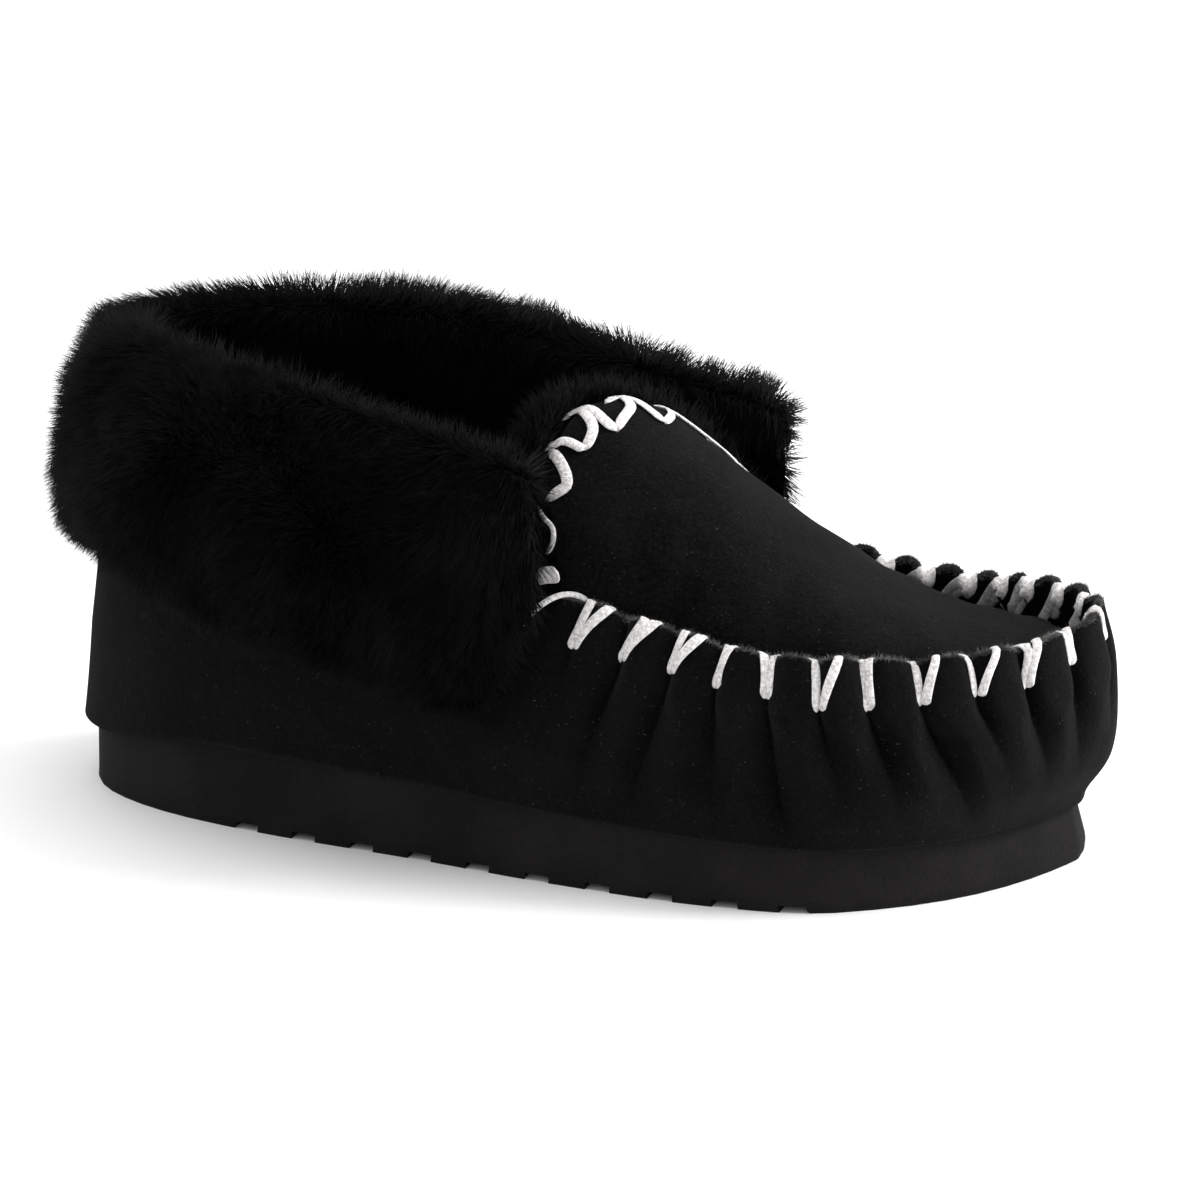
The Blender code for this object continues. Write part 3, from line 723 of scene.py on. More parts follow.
apron = plain_copy("apron", "apron_and_tongue")
edit(lambda: bpy.ops.mesh.tris_convert_to_quads(face_threshold=0.9, shape_threshold=0.9))
apply_modifier(apron, "SUBSURF", levels=2, render_levels=2)
points = points_of(apron)
columns, out = place_of(points)
room = inner_face_at(columns, points[:, 2]) - APRON_GAP - out
press = np.where(room < 0, -room, 0)
tree = tree_through(points)
shift = np.zeros(len(points))
for i, point in enumerate(points):
    for _, j, distance in tree.find_range(point, PUCKER_REACH):
        if press[j] > 0:
            shift[i] = max(shift[i], press[j] * (1 - distance / PUCKER_REACH) ** 1.3)
points[:, :2] -= OUTWARD[columns] * shift[:, None]
dents = np.array([noise.noise(point * 38) + 0.5 * noise.noise(point * 95) for point in map(Vector, points)])
points[:, 2] += dents * DENTS
rise = bell(np.hypot(points[:, 0] - TONGUE_TOP[0], points[:, 1] - TONGUE_TOP[1]), TONGUE_TOP_WIDTH)
points[:, 2] += rise * TONGUE_LIFT
sunk = bell(points[:, 0] - SINK_MIDDLE[0], 0.027) * bell(points[:, 1] - SINK_MIDDLE[1], 0.019)
points[:, 2] -= sunk * SINK
put_points(apron, points)
finish_piece(apron, APRON_SUEDE)
print(f"edge drawn in by up to {shift.max() / MM:.1f} mm")

# %% [markdown]
# ## The lacing
#
# One flat off-white thong laces the gathered wall to the apron. It comes out of a hole in the wall,
# passes over the rim, goes down through the apron's edge half a gather further on, and comes back over
# the rim to the next hole. Each strand is a ribbon with an oval section, laid on the wall along its own
# line, so the wall's grid serves as a ruler: a place on it is a run round the shoe and a way over the
# rim, negative outside and positive inside.

# %% Lay ribbons
LACE_WIDTH = 0.0023
LACE_THICK = 0.0008
LACE_SIDES = 10


def rulers():
    """How far along its section each row of the wall lies from the middle of the rim."""
    step = np.linalg.norm(np.diff(SECTIONS, axis=1), axis=2)
    run = np.concatenate([np.zeros((COLUMNS, 1)), np.cumsum(step, axis=1)], axis=1)
    middle = run[:, OUTER_ROWS + RIM_ROWS // 2]
    return run - middle[:, None]


WAY = rulers()
ALONG_WALL = np.roll(WALL_GRID, -2, axis=0) - np.roll(WALL_GRID, 2, axis=0)
UP_WALL = np.gradient(WALL_GRID, axis=1)
WALL_NORMAL = unit(np.cross(ALONG_WALL, UP_WALL))


def on_wall(run, way):
    """The point of the wall at a run and a way over the rim, and the direction out of the suede there."""
    column = run / STEP
    first = int(column) % COLUMNS
    share = column - int(column)
    point, out = np.zeros(3), np.zeros(3)
    for k, weight in ((first, 1 - share), ((first + 1) % COLUMNS, share)):
        row = np.interp(way, WAY[k], np.arange(WAY.shape[1]))
        low = int(row)
        high = min(low + 1, WAY.shape[1] - 1)
        for j, part in ((low, 1 - row + low), (high, row - low)):
            point += WALL_GRID[k, j] * weight * part
            out += WALL_NORMAL[k, j] * weight * part
    return point, out / np.linalg.norm(out)


def spline(knots, count):
    """So many points on a smooth curve through the knots."""
    knots = np.asarray(knots, float)
    padded = np.vstack([2 * knots[0] - knots[1], knots, 2 * knots[-1] - knots[-2]])
    made = []
    for t in np.linspace(0, len(knots) - 1, count):
        i = min(int(t), len(knots) - 2)
        u = t - i
        a, b, c, d = padded[i:i + 4]
        made.append(b + 0.5 * u * (c - a + u * (2 * a - 5 * b + 4 * c - d + u * (3 * (b - c) + d - a))))
    return np.array(made)


def laid(place, knots, count):
    """A smooth line over a surface, through knots of two measures on it and a lift, and the way out of it."""
    middle, ups = [], []
    for first, second, lift in spline(knots, count):
        point, out = place(first, second)
        middle.append(point + out * lift)
        ups.append(out)
    return np.array(middle), np.array(ups)


def ribbon(name, middle, ups, widths):
    """A thong along a line of points, flat side facing the ups, with its ends drawn to a point."""
    along = np.gradient(middle, axis=0)
    side = np.cross(along, ups)
    side /= np.linalg.norm(side, axis=1)[:, None]
    square = np.cross(side, along)
    square /= np.linalg.norm(square, axis=1)[:, None]
    ends = np.ones(len(middle))
    ends[[0, -1]] = 0
    ends[[1, -2]] = 0.75
    rings = []
    for angle in np.linspace(0, 2 * math.pi, LACE_SIDES + 1):
        flat = side * (math.cos(angle) * widths / 2 * ends)[:, None]
        rings.append(middle + flat + square * (math.sin(angle) * LACE_THICK / 2 * ends)[:, None])
    rings[-1] = rings[0]
    thing = cloth_sheet(name, np.stack(rings, axis=1))
    edit(weld, face_out)
    return thing


def join_as(name, things):
    only(things[0])
    for thing in things[1:]:
        thing.select_set(True)
    bpy.ops.object.join()
    things[0].name = name
    return things[0]


# %% [markdown]
# Each row of the table below is one gather of the near side: how far round the two strands cross the rim
# from their hole, and how far down the wall the hole is. On the far side both strands of a gather run
# back side by side, and show as one wide slanting band on the inside of the wall.

# %% Lace the gathers
SEAM_WAY = 0.0078
NEAR_CROSSINGS = (
    (3.5, 8, 12.2), (5.5, 8, 11), (3, 7.3, 10.8), (2.7, 3.2, 10.8), (-2, 1, 10.8), (-0.7, 6.3, 12.9),
    (0.5, 2, 12.9), (0, 5, 11.2), (-1.2, 6.2, 10.4), (2.2, 4.4, 10.2), (-1.2, 0.8, 8.6),
)
FAR_CROSSINGS = ((-1.3, 10.0), (1.1, 13.5))
FAR_DOWN = 0.0085
FAR_SEAM = 0.0125
FAR_LACE = 1.35
FAR_TURN = 0.08
LACE = Finish("lace", Roughness=0.8, Sheen_Weight=0.3, Specular_IOR_Level=0.3)
fibres = LACE.grain(1100, detail=4, rough=0.7)
threads = LACE.between(fibres, 0.35, 0.62)
LACE.set("Base Color", LACE.mix(threads, (0.46, 0.44, 0.43, 1), (0.80, 0.78, 0.78, 1)))
LACE.bump(fibres, 0.0005, 0.9)


def strand(hole, crossing, seam, slot, down, inside=SEAM_WAY, wide=1.0, turn=0.3):
    """From a hole so far down the wall, over the rim to the apron's seam. Other places are runs."""
    knots = [
        (hole + slot, -down - 0.0008, -0.0012),
        (hole + slot + (crossing - hole) * 0.10, -down + 0.0008, 0.0002),
        (hole + (crossing - hole) * 0.55, -down * 0.5, 0.0007),
        (crossing, -0.0008, 0.0007),
        (crossing + (seam - crossing) * turn, 0.0022, 0.0007),
        (crossing + (seam - crossing) * (turn / 2 + 0.42), inside * 0.58, 0.0006),
        (seam + (crossing - seam) * 0.15, inside - 0.0012, 0.0003),
        (seam, inside + 0.0012, -0.0012),
    ]
    middle, ups = laid(on_wall, knots, 22)
    spread = LACE_WIDTH * wide * (1 + 0.14 * np.sin(np.linspace(0, 9, len(middle)) + hole * 999))
    return ribbon("strand", evened(middle), ups, spread)


holes = list(CREASE_RUNS)
seams = [(a + b) / 2 for a, b in zip(holes[:-1], holes[1:])]
seams = [holes[0] - 0.006, *seams, holes[-1] + 0.006]
strands = []
for k, (left, right, down) in enumerate(NEAR_CROSSINGS):
    strands.append(strand(holes[k], holes[k] + left * MM, seams[k], -0.0006, down * MM))
    strands.append(strand(holes[k], holes[k] + right * MM, seams[k + 1], 0.0006, down * MM))
for hole in holes[len(NEAR_CROSSINGS):]:
    for (crossing, seam), slot in zip(FAR_CROSSINGS, (-0.0006, 0.0006)):
        band = (FAR_DOWN, FAR_SEAM, FAR_LACE, FAR_TURN)
        strands.append(strand(hole, hole + crossing * MM, hole + seam * MM, slot, *band))
lacing = join_as("lacing", strands)
finish_piece(lacing, LACE.material)

# %% [markdown]
# Along the tongue's rear edge the thong runs in a zigzag: in through the suede, out round the edge, and
# on. The edge is measured first, by rays sent down on the apron, so that a place on it is how far round
# the edge it lies from the outer side, and how far in from the edge.

# %% Measure the tongue's edge
def measure_edge():
    """Points of the apron's rear edge, every half millimetre across the shoe."""
    sheet = BVHTree.FromObject(apron, bpy.context.evaluated_depsgraph_get())
    edge = []
    for y in np.arange(-0.0345, 0.0370, 0.0005):
        behind, ahead = -0.02, 0.045
        for _ in range(14):
            middle = (behind + ahead) / 2
            found = sheet.ray_cast(Vector((middle, y, 0.15)), Vector((0, 0, -1)))
            if found[0] is None or found[0].z < 0.062:
                behind = middle
            else:
                ahead, height = middle, found[0].z
        edge.append((ahead, y, height))
    return sheet, evened(np.array(edge))


APRON_SHEET, TONGUE_EDGE = measure_edge()
EDGE_RUN = np.concatenate([[0], np.cumsum(np.linalg.norm(np.diff(TONGUE_EDGE, axis=0), axis=1))])
print(f"tongue edge {EDGE_RUN[-1] / MM:.0f} mm long")


def on_tongue(along, inward):
    """A point of the tongue, and the direction out of it."""
    edge = np.array([np.interp(along, EDGE_RUN, TONGUE_EDGE[:, axis]) for axis in range(3)])
    ahead = Vector((edge[0] + max(inward, 0.0006), edge[1], 0.15))
    found = APRON_SHEET.ray_cast(ahead, Vector((0, 0, -1)))
    if found[0] is None:
        found = APRON_SHEET.find_nearest(Vector(edge))
    point, out = np.array(found[0]), np.array(found[1])
    if inward < 0:
        point = edge + np.array([inward, 0, inward * 0.25])
    return point, out


# %% [markdown]
# Each row of the next table is one leg of the zigzag: how wide the thong lies and how far it stands off,
# then a few places between its hole in the suede and where it turns under the edge, as millimetres round
# the edge and in from it. One more strand arches over the end of the side wall.

# %% Lace the tongue
TONGUE_LEGS = (
    (1.8, 2.4, (4.3, -6), (4.5, -3.5), (4.5, -1.5), (4, 0.8)),
    (0.6, 1.6, (9.5, -3), (11.5, 0), (15, 0.2), (21, -2.5), (22, -4)),
    (1.25, 0.6, (22.5, -1.5), (25, 4), (28.5, 4), (32.5, 1.5), (36, -1.5)),
    (1.1, 0.6, (36.5, -3.5), (37.5, 2), (36, 7.5)),
    (1.2, 0.6, (36, 7.5), (42.5, 7.5), (47.5, 2), (49.5, -1.5)),
    (1.2, 0.6, (45.5, -2.5), (48.5, -1), (49, 2.5), (46, 8), (43.5, 13)),
    (1.2, 0.6, (43.5, 13), (54.5, 8.5), (60, 1), (61.5, -2)),
    (1.1, 0.6, (52.5, 3.5), (60.5, 0), (61, 3.5), (58.5, 10), (57.5, 14.5)),
    (1.0, 0.6, (57.5, 14.5), (66, 8), (73, 1), (74, -2)),
    (0.9, 0.6, (69, -1), (73, 1.5), (77.5, 3), (81, 4.5), (87, 5.5)),
)
# the strand over the end of the side wall, as places in millimetres
END_STRAND = (
    (-0.5, -49.0, 58.4), (2.6, -47.0, 63.2), (5.4, -43.2, 66.8), (8.6, -38.8, 69.0),
    (12.0, -36.2, 69.4), (15.2, -35.2, 68.2), (17.2, -34.9, 65.8),
)
FAR_LEGS = 4
FAR_STEP = 8.0


def tongue_leg(wide, lift, *places):
    knots = [(along * MM, inward * MM, lift * MM) for along, inward in places]
    knots[0] = (*knots[0][:2], 0.0002)
    middle, ups = laid(on_tongue, knots, 18)
    ups[1:-1] = ups[1:-1] + ups[:-2] + ups[2:]
    return ribbon("leg", evened(middle, rounds=2), ups, np.full(len(middle), LACE_WIDTH * wide))


legs = [tongue_leg(*row) for row in TONGUE_LEGS]
for k in range(FAR_LEGS):
    hole = 92 + FAR_STEP * k
    legs.append(tongue_leg(1, 0.6, (hole, 5), (hole - 2, 2.5), (hole - 4, 0), (hole - 6, -3)))
    legs.append(tongue_leg(1, 0.6, (hole, 5), (hole + 2, 2.5), (hole + 3.5, 0), (hole + 4.5, -3)))
end_middle = spline(np.array(END_STRAND) * MM, 26)
legs.append(ribbon("leg", end_middle, np.tile((0.0, -0.55, 0.83), (26, 1)), np.full(26, LACE_WIDTH * 0.8)))
tongue_lacing = join_as("tongue_lacing", legs)
finish_piece(tongue_lacing, LACE.material)

# %% [markdown]
# ## The pelt
#
# A sheepskin cuff is a soft skin with dense fur. The skin comes from the plain cuff: its coarse locks are
# smoothed away and it is drawn in towards the wall, so that the hairs that grow from it end where the
# plain cuff did.

# %% Model the pelt
PELT_DEPTH = 0.0036
PELT_FORWARD = (0.0046, 0.0016)
PELT_RISE = 0.0060
HEEL_RISE = 0.0022
HEEL_BACK = 0.0014
near_wall = tree_of("upper")


def gap_to_wall(points):
    """Each point's distance from the plain wall and the direction away from it."""
    gaps, away = [], []
    for point in map(Vector, points):
        found = near_wall.find_nearest(point)
        gaps.append(found[3])
        away.append((point - found[0]).normalized())
    return np.array(gaps), np.array(away)


def normals_of(thing):
    normals = np.empty(len(thing.data.vertices) * 3)
    thing.data.vertex_normals.foreach_get("vector", normals)
    return normals.reshape(-1, 3)


def select_points(thing, chosen):
    bpy.ops.object.mode_set(mode="EDIT")
    bpy.ops.mesh.select_all(action="DESELECT")
    bpy.ops.object.mode_set(mode="OBJECT")
    thing.data.vertices.foreach_set("select", np.asarray(chosen, bool))
    bpy.ops.object.mode_set(mode="EDIT")
    bpy.ops.mesh.select_mode(type="VERT")


def make_pelt(node, name, depth, rounds):
    pelt = plain_copy(node, name)
    gaps, _ = gap_to_wall(points_of(pelt))
    select_points(pelt, gaps > 0.0016)
    bpy.ops.mesh.vertices_smooth(factor=0.5, repeat=rounds)
    bpy.ops.object.mode_set(mode="OBJECT")
    apply_modifier(pelt, "SUBSURF", levels=1, render_levels=1)
    points = points_of(pelt)
    gaps, _ = gap_to_wall(points)
    drawn = np.clip((gaps - 0.0012) * 0.62, 0, depth)
    put_points(pelt, points - normals_of(pelt) * drawn[:, None])
    return pelt


def fitted(points):
    """The cuff with its front ends drawn forward, and its rim raised on the inner side and the heel."""
    for side, forward in zip((-1, 1), PELT_FORWARD):
        here = points[:, 1] * side > 0
        limit = points[here, 0].max()
        share = step_up(points[here, 0], limit - 0.028, limit - 0.002)
        points[here, 0] += share * step_up(points[here, 2], 0.052, 0.070) * forward
    medial = step_up(points[:, 1], -0.004, 0.022) * step_up(points[:, 0], -0.125, -0.060)
    heel = 1 - step_up(points[:, 0], -0.120, -0.080)
    points[:, 2] += (PELT_RISE * medial + HEEL_RISE * heel) * step_up(points[:, 2], 0.068, 0.095)
    rearmost = 1 - step_up(points[:, 0], -0.135, -0.105)
    points[:, 0] -= HEEL_BACK * rearmost * step_up(points[:, 2], 0.055, 0.075)
    return points


PELT_SKIN = Finish("pelt_skin", Roughness=1.0, Specular_IOR_Level=0.0)
curls = PELT_SKIN.between(PELT_SKIN.grain(500, detail=3), 0.35, 0.65)
PELT_SKIN.set("Base Color", PELT_SKIN.mix(curls, grey(0.0008), grey(0.0024)))
PELT_SKIN.bump(curls, 0.0006)
pelt = make_pelt("fur_cuff", "cuff_pelt", PELT_DEPTH, 14)
put_points(pelt, fitted(points_of(pelt)))
finish_piece(pelt, PELT_SKIN.material)

# %% [markdown]
# ## The fur
#
# A fleece has two kinds of hair: short dense underfur and longer guard hairs that bend over. One hair of
# each kind is modelled from a three-sided cone, and the pelt repeats them, each bent along its own line.
# Neighbouring tips lean together into locks.

# %% Grow hair
def hair_pattern(name, bends):
    """One hair's points, as turn and height, and its triangles."""
    bpy.ops.object.select_all(action="DESELECT")
    bpy.ops.mesh.primitive_cone_add(vertices=3, radius1=1, radius2=0, depth=1, end_fill_type="NOTHING",
                                    location=(0, 0, 0.5))
    hair = bpy.context.object
    bpy.ops.object.transform_apply(location=True, rotation=True, scale=True)
    cuts = [lambda h=h: bpy.ops.mesh.bisect(plane_co=(0, 0, h), plane_no=(0, 0, 1)) for h in bends]
    edit(*cuts, bpy.ops.mesh.quads_convert_to_tris)
    points = points_of(hair)
    faces = np.array([face.vertices[:] for face in hair.data.polygons])
    bpy.data.objects.remove(hair)
    print(name, len(faces), "triangles")
    return points, faces


STRAIGHT_HAIR = hair_pattern("straight hair", ())
BENT_HAIR = hair_pattern("bent hair", (0.5,))


def scatter(thing, count, draw, wanted):
    """Random points on the wanted faces of a mesh, with the direction out of it."""
    mesh = thing.data
    mesh.calc_loop_triangles()
    corners = np.empty(len(mesh.loop_triangles) * 3, int)
    mesh.loop_triangles.foreach_get("vertices", corners)
    corners = points_of(thing)[corners.reshape(-1, 3)]
    square = np.cross(corners[:, 1] - corners[:, 0], corners[:, 2] - corners[:, 0])
    area = np.linalg.norm(square, axis=1)
    square /= area[:, None] + 1e-15
    middle = corners.mean(axis=1)
    chance = area * wanted(middle, square)
    chosen = draw.choice(len(area), count, p=chance / chance.sum())
    u, v = draw.random((2, count, 1))
    flip = u + v > 1
    u, v = np.where(flip, 1 - u, u), np.where(flip, 1 - v, v)
    a, b, c = corners[chosen].transpose(1, 0, 2)
    return a + (b - a) * u + (c - a) * v, square[chosen]


def hairs(name, pattern, roots, bends, tips, radius, material):
    """A mesh of hairs, each through its root, bend and tip."""
    shape, faces = pattern
    along = unit(tips - roots)
    side = unit(np.cross(along, [0.31, 0.17, 0.93]))
    other = np.cross(along, side)
    u = shape[:, 2][None, :, None]
    path = roots[:, None] * (1 - u) ** 2 + bends[:, None] * 2 * u * (1 - u) + tips[:, None] * u ** 2
    across = side[:, None] * shape[None, :, :1] + other[:, None] * shape[None, :, 1:2]
    points = path + across * radius
    count = len(shape)
    triangles = (faces[None] + np.arange(len(roots))[:, None, None] * count).reshape(-1)
    mesh = bpy.data.meshes.new(name)
    mesh.vertices.add(points.shape[0] * count)
    mesh.vertices.foreach_set("co", points.ravel())
    mesh.loops.add(len(triangles))
    mesh.loops.foreach_set("vertex_index", triangles)
    mesh.polygons.add(len(triangles) // 3)
    mesh.polygons.foreach_set("loop_start", np.arange(0, len(triangles), 3))
    mesh.update()
    mesh.validate()
    thing = bpy.data.objects.new(name, mesh)
    bpy.context.scene.collection.objects.link(thing)
    return finish_piece(thing, material)


# %% Comb the cuff's fur
FUR = Finish("fur", Roughness=0.6, Specular_IOR_Level=0.07)
mottle = FUR.grain(48, detail=4) * 0.6 + FUR.grain(1100, detail=2) * 0.4
FUR.set("Base Color", FUR.mix(FUR.between(mottle, 0.38, 0.62), grey(0.0010, 0.06), grey(0.0052, 0.06)))
DOWN = np.array([0, 0, -1.0])
UNDERFUR = (0.0068, 0.0106)
GUARD_HAIR = (0.0090, 0.0128)
# the directions of noise_vector start from the clock unless a number is given
noise.seed_set(3)


def swirl(points, per_metre, seed):
    """A slowly changing random direction, the same for near points."""
    made = np.empty((len(points), 3))
    for i, (x, y, z) in enumerate(points * per_metre):
        made[i] = noise.noise_vector(Vector((x + seed, y - seed, z)))
    return made


def wanted_fur(middle, square):
    gaps, away = gap_to_wall(middle)
    return ((square * away).sum(axis=1) > -0.2) * (gaps > 0.0010)


pelt_points = points_of(pelt)
LATERAL_FRONT = pelt_points[pelt_points[:, 1] < 0, 0].max()
MEDIAL_FRONT = pelt_points[pelt_points[:, 1] > 0, 0].max()
pelt_columns, _ = place_of(pelt_points)
PELT_FOOT = np.full(COLUMNS, 1.0)
np.minimum.at(PELT_FOOT, pelt_columns, pelt_points[:, 2])
for _ in range(12):
    PELT_FOOT = np.minimum(PELT_FOOT, np.minimum(np.roll(PELT_FOOT, 1), np.roll(PELT_FOOT, -1)))


def fleece(name, pattern, count, lengths, radius, seed, clumps, pull):
    """Fur on the cuff's pelt."""
    draw = np.random.default_rng(seed)
    roots, square = scatter(pelt, count, draw, wanted_fur)
    columns, _ = place_of(roots)
    outward = np.column_stack([OUTWARD[columns], np.zeros(count)])
    low = 1 - step_up(roots[:, 2] - PELT_FOOT[columns], 0.002, 0.011)
    crest = step_up(square[:, 2], 0.0, 0.8)
    falling = DOWN * ((0.8 - 0.6 * low) * (1 - crest))[:, None]
    comb = falling + outward * (0.4 + 0.9 * crest)[:, None]
    comb += swirl(roots, 32, 3.7) * 2.0 + swirl(roots, 120, 8.1) * 0.8
    comb -= square * (comb * square).sum(axis=1)[:, None]
    loose = draw.normal(size=(count, 3))
    way = square * (0.9 - 0.3 * crest)[:, None] + comb * 0.65 + loose * 0.2
    front = np.where(roots[:, 1] < 0, LATERAL_FRONT, MEDIAL_FRONT)
    near = step_up(roots[:, 0], front - 0.014, front) * step_up(roots[:, 2], 0.045, 0.065)
    way += np.array([0.7, 0, 0.1]) * (near * np.where(roots[:, 1] < 0, 1, 0.5))[:, None]
    way = unit(way)
    length = (draw.uniform(*lengths, count) * (1 - 0.3 * low))[:, None]
    tips = roots + way * length
    clumps = min(clumps, count)
    centres = draw.choice(count, clumps, replace=False)
    tree = tree_through(roots[centres])
    nearest = np.array([tree.find(Vector(root))[1] for root in roots])
    gather_to = tips[centres[nearest]]
    tips = tips + (gather_to - tips) * pull * draw.random((count, 1))
    tips = tips + DOWN * length * 0.12
    bends = (roots + tips) / 2 + square * length * 0.10
    return hairs(name, pattern, roots - square * 0.0003, bends, tips, radius, FUR.material)


share = 1.0
under = [fleece(f"cuff_underfur_{k}", STRAIGHT_HAIR, int(56000 * share), UNDERFUR, 0.00018, 20 + k,
                4000, 0.3) for k in (1, 2)]
guard = [fleece(f"cuff_guard_hair_{k}", BENT_HAIR, int(13500 * share), GUARD_HAIR, 0.00014, 30 + k,
                1000, 0.5) for k in (1, 2)]

# %% [markdown]
# ## The tongue's wool
#
# The same fleece lines the shoe, and a fringe of it stands out behind the tongue's edge.

# %% Grow the tongue's wool
wool_pelt = plain_copy("tongue_wool", "tongue_pelt")
only(wool_pelt)
edit(lambda: bpy.ops.mesh.vertices_smooth(factor=0.5, repeat=6))
finish_piece(wool_pelt, PELT_SKIN.material)


def tongue_fleece(name, count, seed):
    draw = np.random.default_rng(seed)
    roots, square = scatter(wool_pelt, count, draw, lambda middle, square: square[:, 0] < 0.7)
    loose = draw.normal(size=(count, 3))
    way = unit(square * 0.8 + loose * 0.35 + np.array([-0.1, 0, 0.35]))
    length = draw.uniform(0.005, 0.0095, count)[:, None]
    tips = roots + way * length
    bends = (roots + tips) / 2 + loose * 0.0004
    return hairs(name, BENT_HAIR, roots, bends, tips, 0.00014, FUR.material)


tongue_wool = tongue_fleece("tongue_wool_hairs", int(7000 * share), 41)

# %% [markdown]
# ## The sole and the footbed
#
# The sole is one block of dense foam with a softly worn edge. A copy of the plain one is squared up at its
# lower edge, drawn in under the toe and bevelled. Foam is matt and finely pitted, and cloudy from
# handling. On the footbed the fleece is clipped short.

# %% Finish the sole
EDGE_FLARE = 0.0008
EDGE_SQUARE = 0.9
EDGE_REACH = 0.0050
FOAM = Finish("foam", Roughness=0.85, Specular_IOR_Level=0.10)
cells = FOAM.grain(1500, detail=3, rough=0.7)
clouded = FOAM.between(cells * 0.45 + FOAM.grain(40, detail=4) * 0.55, 0.36, 0.64)
FOAM.set("Base Color", FOAM.mix(clouded, (0.0052, 0.0045, 0.0048, 1), (0.0108, 0.0094, 0.0100, 1)))
FOAM.bump(cells, 0.0003, 0.8)
sole = plain_copy("outsole", "foam_sole")
points = points_of(sole)
columns, out = place_of(points)
edge = (out > -EDGE_REACH) * (1 - step_up(points[:, 2], 0.0008, 0.006))
in_toe = tucked[columns] * (out > -EDGE_REACH) * (0.4 + 0.6 * step_up(points[:, 2], 0.003, 0.016))
points[:, :2] += OUTWARD[columns] * ((EDGE_FLARE - out * EDGE_SQUARE) * edge - TOE_TUCK * in_toe)[:, None]
put_points(sole, points)
apply_modifier(sole, "BEVEL", width=0.0006, segments=2, limit_method="ANGLE", angle_limit=math.radians(40))
finish_piece(sole, FOAM.material, angle=35)
footbed = plain_copy("insole", "footbed")
finish_piece(footbed, PELT_SKIN.material, angle=35)


def lining(name, thing, count, seed, wanted):
    """Short straight wool on the inside of the shoe."""
    draw = np.random.default_rng(seed)
    roots, square = scatter(thing, count, draw, wanted)
    way = unit(square + swirl(roots, 90, 5.0) * 1.2 + draw.normal(size=(count, 3)) * 0.2)
    tips = roots + way * draw.uniform(0.0035, 0.0065, count)[:, None]
    return hairs(name, STRAIGHT_HAIR, roots, roots, tips, 0.00022, FUR.material)


footbed_wool = lining("footbed_wool", footbed, int(14000 * share), 51,
                      lambda middle, square: square[:, 2] > 0.5)

# %% [markdown]
# ## Fibres on the cut edge
#
# The gathered rim is cut suede with a raw edge. A scatter of very short pale fibres along it softens the
# line where the wall meets the apron.

# %% Fray the rim
FIBRE = Finish("edge_fibre", Roughness=0.9, Specular_IOR_Level=0.1)
bleached = FIBRE.between(FIBRE.grain(260, detail=3), 0.35, 0.65)
FIBRE.set("Base Color", FIBRE.mix(bleached, grey(0.012, 0.04), grey(0.16, 0.03)))


def near_rim(middle, square):
    found = [rim_tree.find(Vector(point)) for point in middle]
    away = np.array([row[2] for row in found])
    place = np.array([row[1] for row in found])
    return (away < 0.0014) * GATHERED[place]


def fray(name, count, seed):
    draw = np.random.default_rng(seed)
    roots, square = scatter(wall, count, draw, near_rim)
    way = unit(square + draw.normal(size=(count, 3)) * 0.7)
    tips = roots + way * draw.uniform(0.0005, 0.0019, count)[:, None]
    bends = (roots + tips) / 2 + draw.normal(size=(count, 3)) * 0.0001
    return hairs(name, STRAIGHT_HAIR, roots, bends, tips, 0.00005, FIBRE.material)


rim_fibres = fray("rim_fibres", int(9000 * share), 61)

# %% [markdown]
# ## Setting the pieces in place
#
# Leather, fur and foam are one body, so every piece rides on it. Each one is listed with what it is made of,
# and the finer pieces take the places of the plain ones.

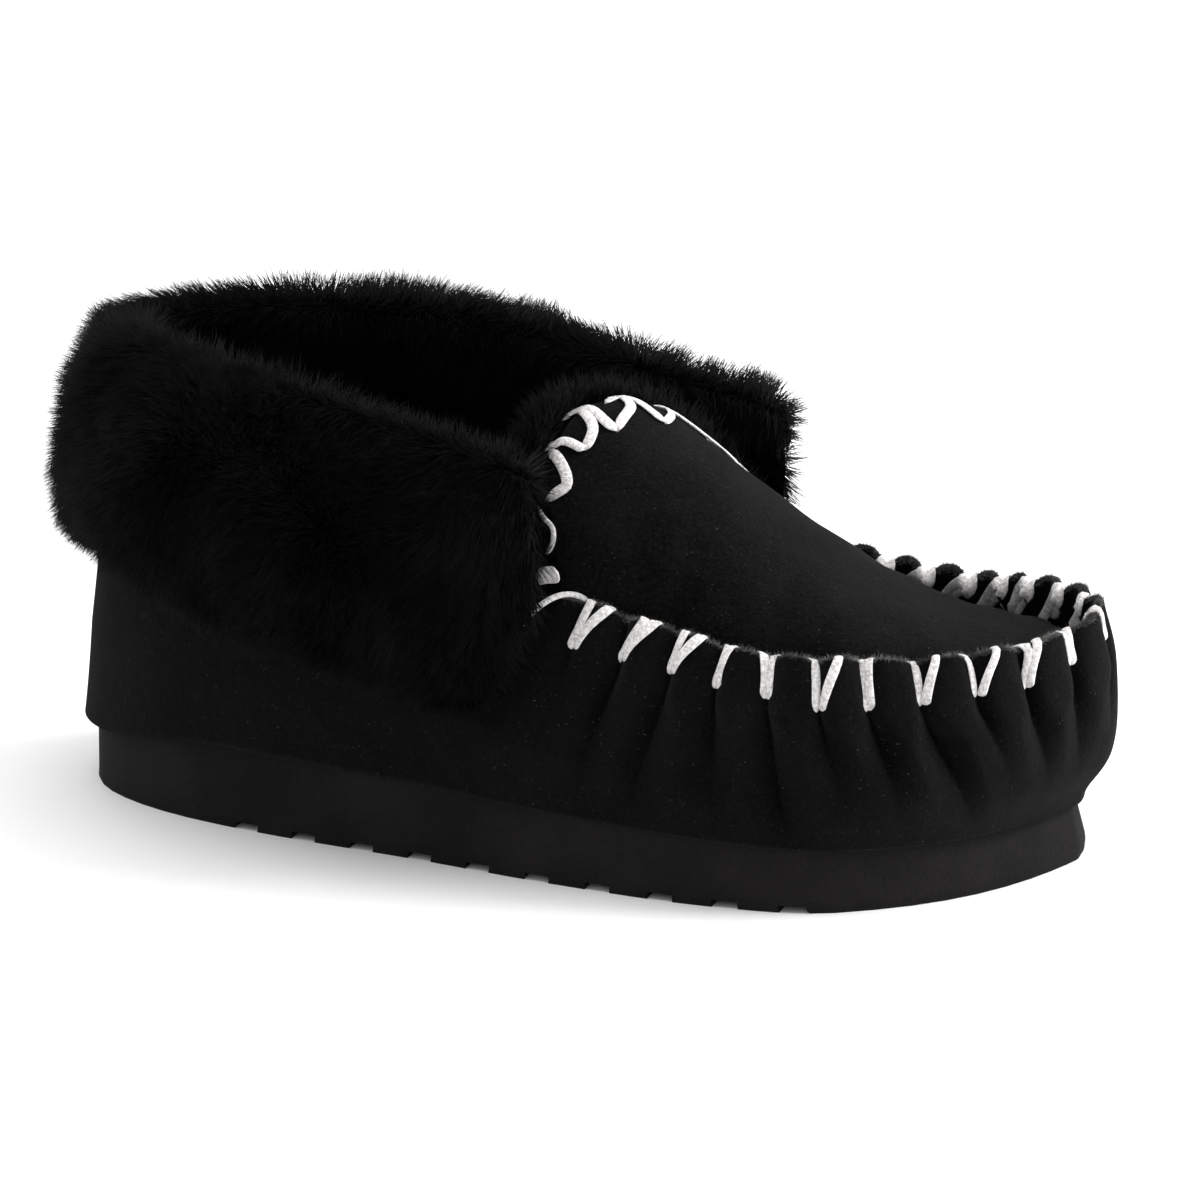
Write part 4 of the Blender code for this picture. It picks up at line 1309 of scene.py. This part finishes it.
# %% Set the pieces in place
PIECES = (
    (wall, "suede", "upper"),
    (apron, "suede", "apron"),
    (sole, "foam", "outsole"),
    (footbed, "wool", "insole"),
    (pelt, "fur", "fur_cuff"),
    (wool_pelt, "wool", "tongue_wool"),
    (lacing, "yarn", None),
    (tongue_lacing, "yarn", None),
    *((thing, "fur", None) for thing in under + guard),
    (tongue_wool, "wool", None),
    (footbed_wool, "wool", None),
    (rim_fibres, "suede", None),
)
for thing, kind, node in PIECES:
    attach(thing, "root")
    if node:
        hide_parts(node)

# %% [markdown]
# ## Floor and light
#
# The shoe stands on white paper. A large soft light hangs over it, and panels at its sides and before it
# lift the suede and the fur off their own shadows.

# %% Floor and light
bpy.ops.object.select_all(action="DESELECT")
bpy.ops.mesh.primitive_plane_add(size=8, location=(0, 0, 0))
floor = bpy.context.object
floor.name = "floor"
FLOOR = Finish("floor_paper", Base_Color=grey(0.9), Roughness=0.9)
floor.data.materials.append(FLOOR.material)
world = bpy.data.worlds.new("studio")
bpy.context.scene.world = world
world.use_nodes = True
world.node_tree.nodes["Background"].inputs["Color"].default_value = (1, 1, 1, 1)
world.node_tree.nodes["Background"].inputs["Strength"].default_value = 0.50
bpy.context.scene.view_settings.view_transform = "Standard"
UP = Vector((0, 0, 1))


def softbox(name, place, width, height, watts):
    """A white light panel that faces the shoe."""
    bpy.ops.object.light_add(type="AREA", location=place)
    lamp = bpy.context.object
    lamp.name = name
    lamp.data.shape = "RECTANGLE"
    lamp.data.size = width
    lamp.data.size_y = height
    lamp.data.energy = watts
    aim = Vector((0, 0, 0.05)) - lamp.location
    lamp.rotation_euler = aim.to_track_quat("-Z", "Y").to_euler()


softbox("overhead", UP * 1.7 + Vector((0, 0.10, 0)), 2.4, 2.0, 34)
softbox("front_panel", CAMERA_BACK * 1.5 - CAMERA_RIGHT * 0.5 + UP * 0.35, 1.2, 0.8, 3)
softbox("right_panel", CAMERA_RIGHT * 1.15 + UP * 0.55 - CAMERA_BACK * 0.1, 0.7, 1.1, 26)
softbox("left_panel", CAMERA_RIGHT * -1.2 + UP * 0.6 - CAMERA_BACK * 0.3, 0.8, 1.1, 4)

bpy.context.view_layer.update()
triangles = sum(len(thing.data.polygons) for thing, _, _ in PIECES)
print("faces in all", triangles)
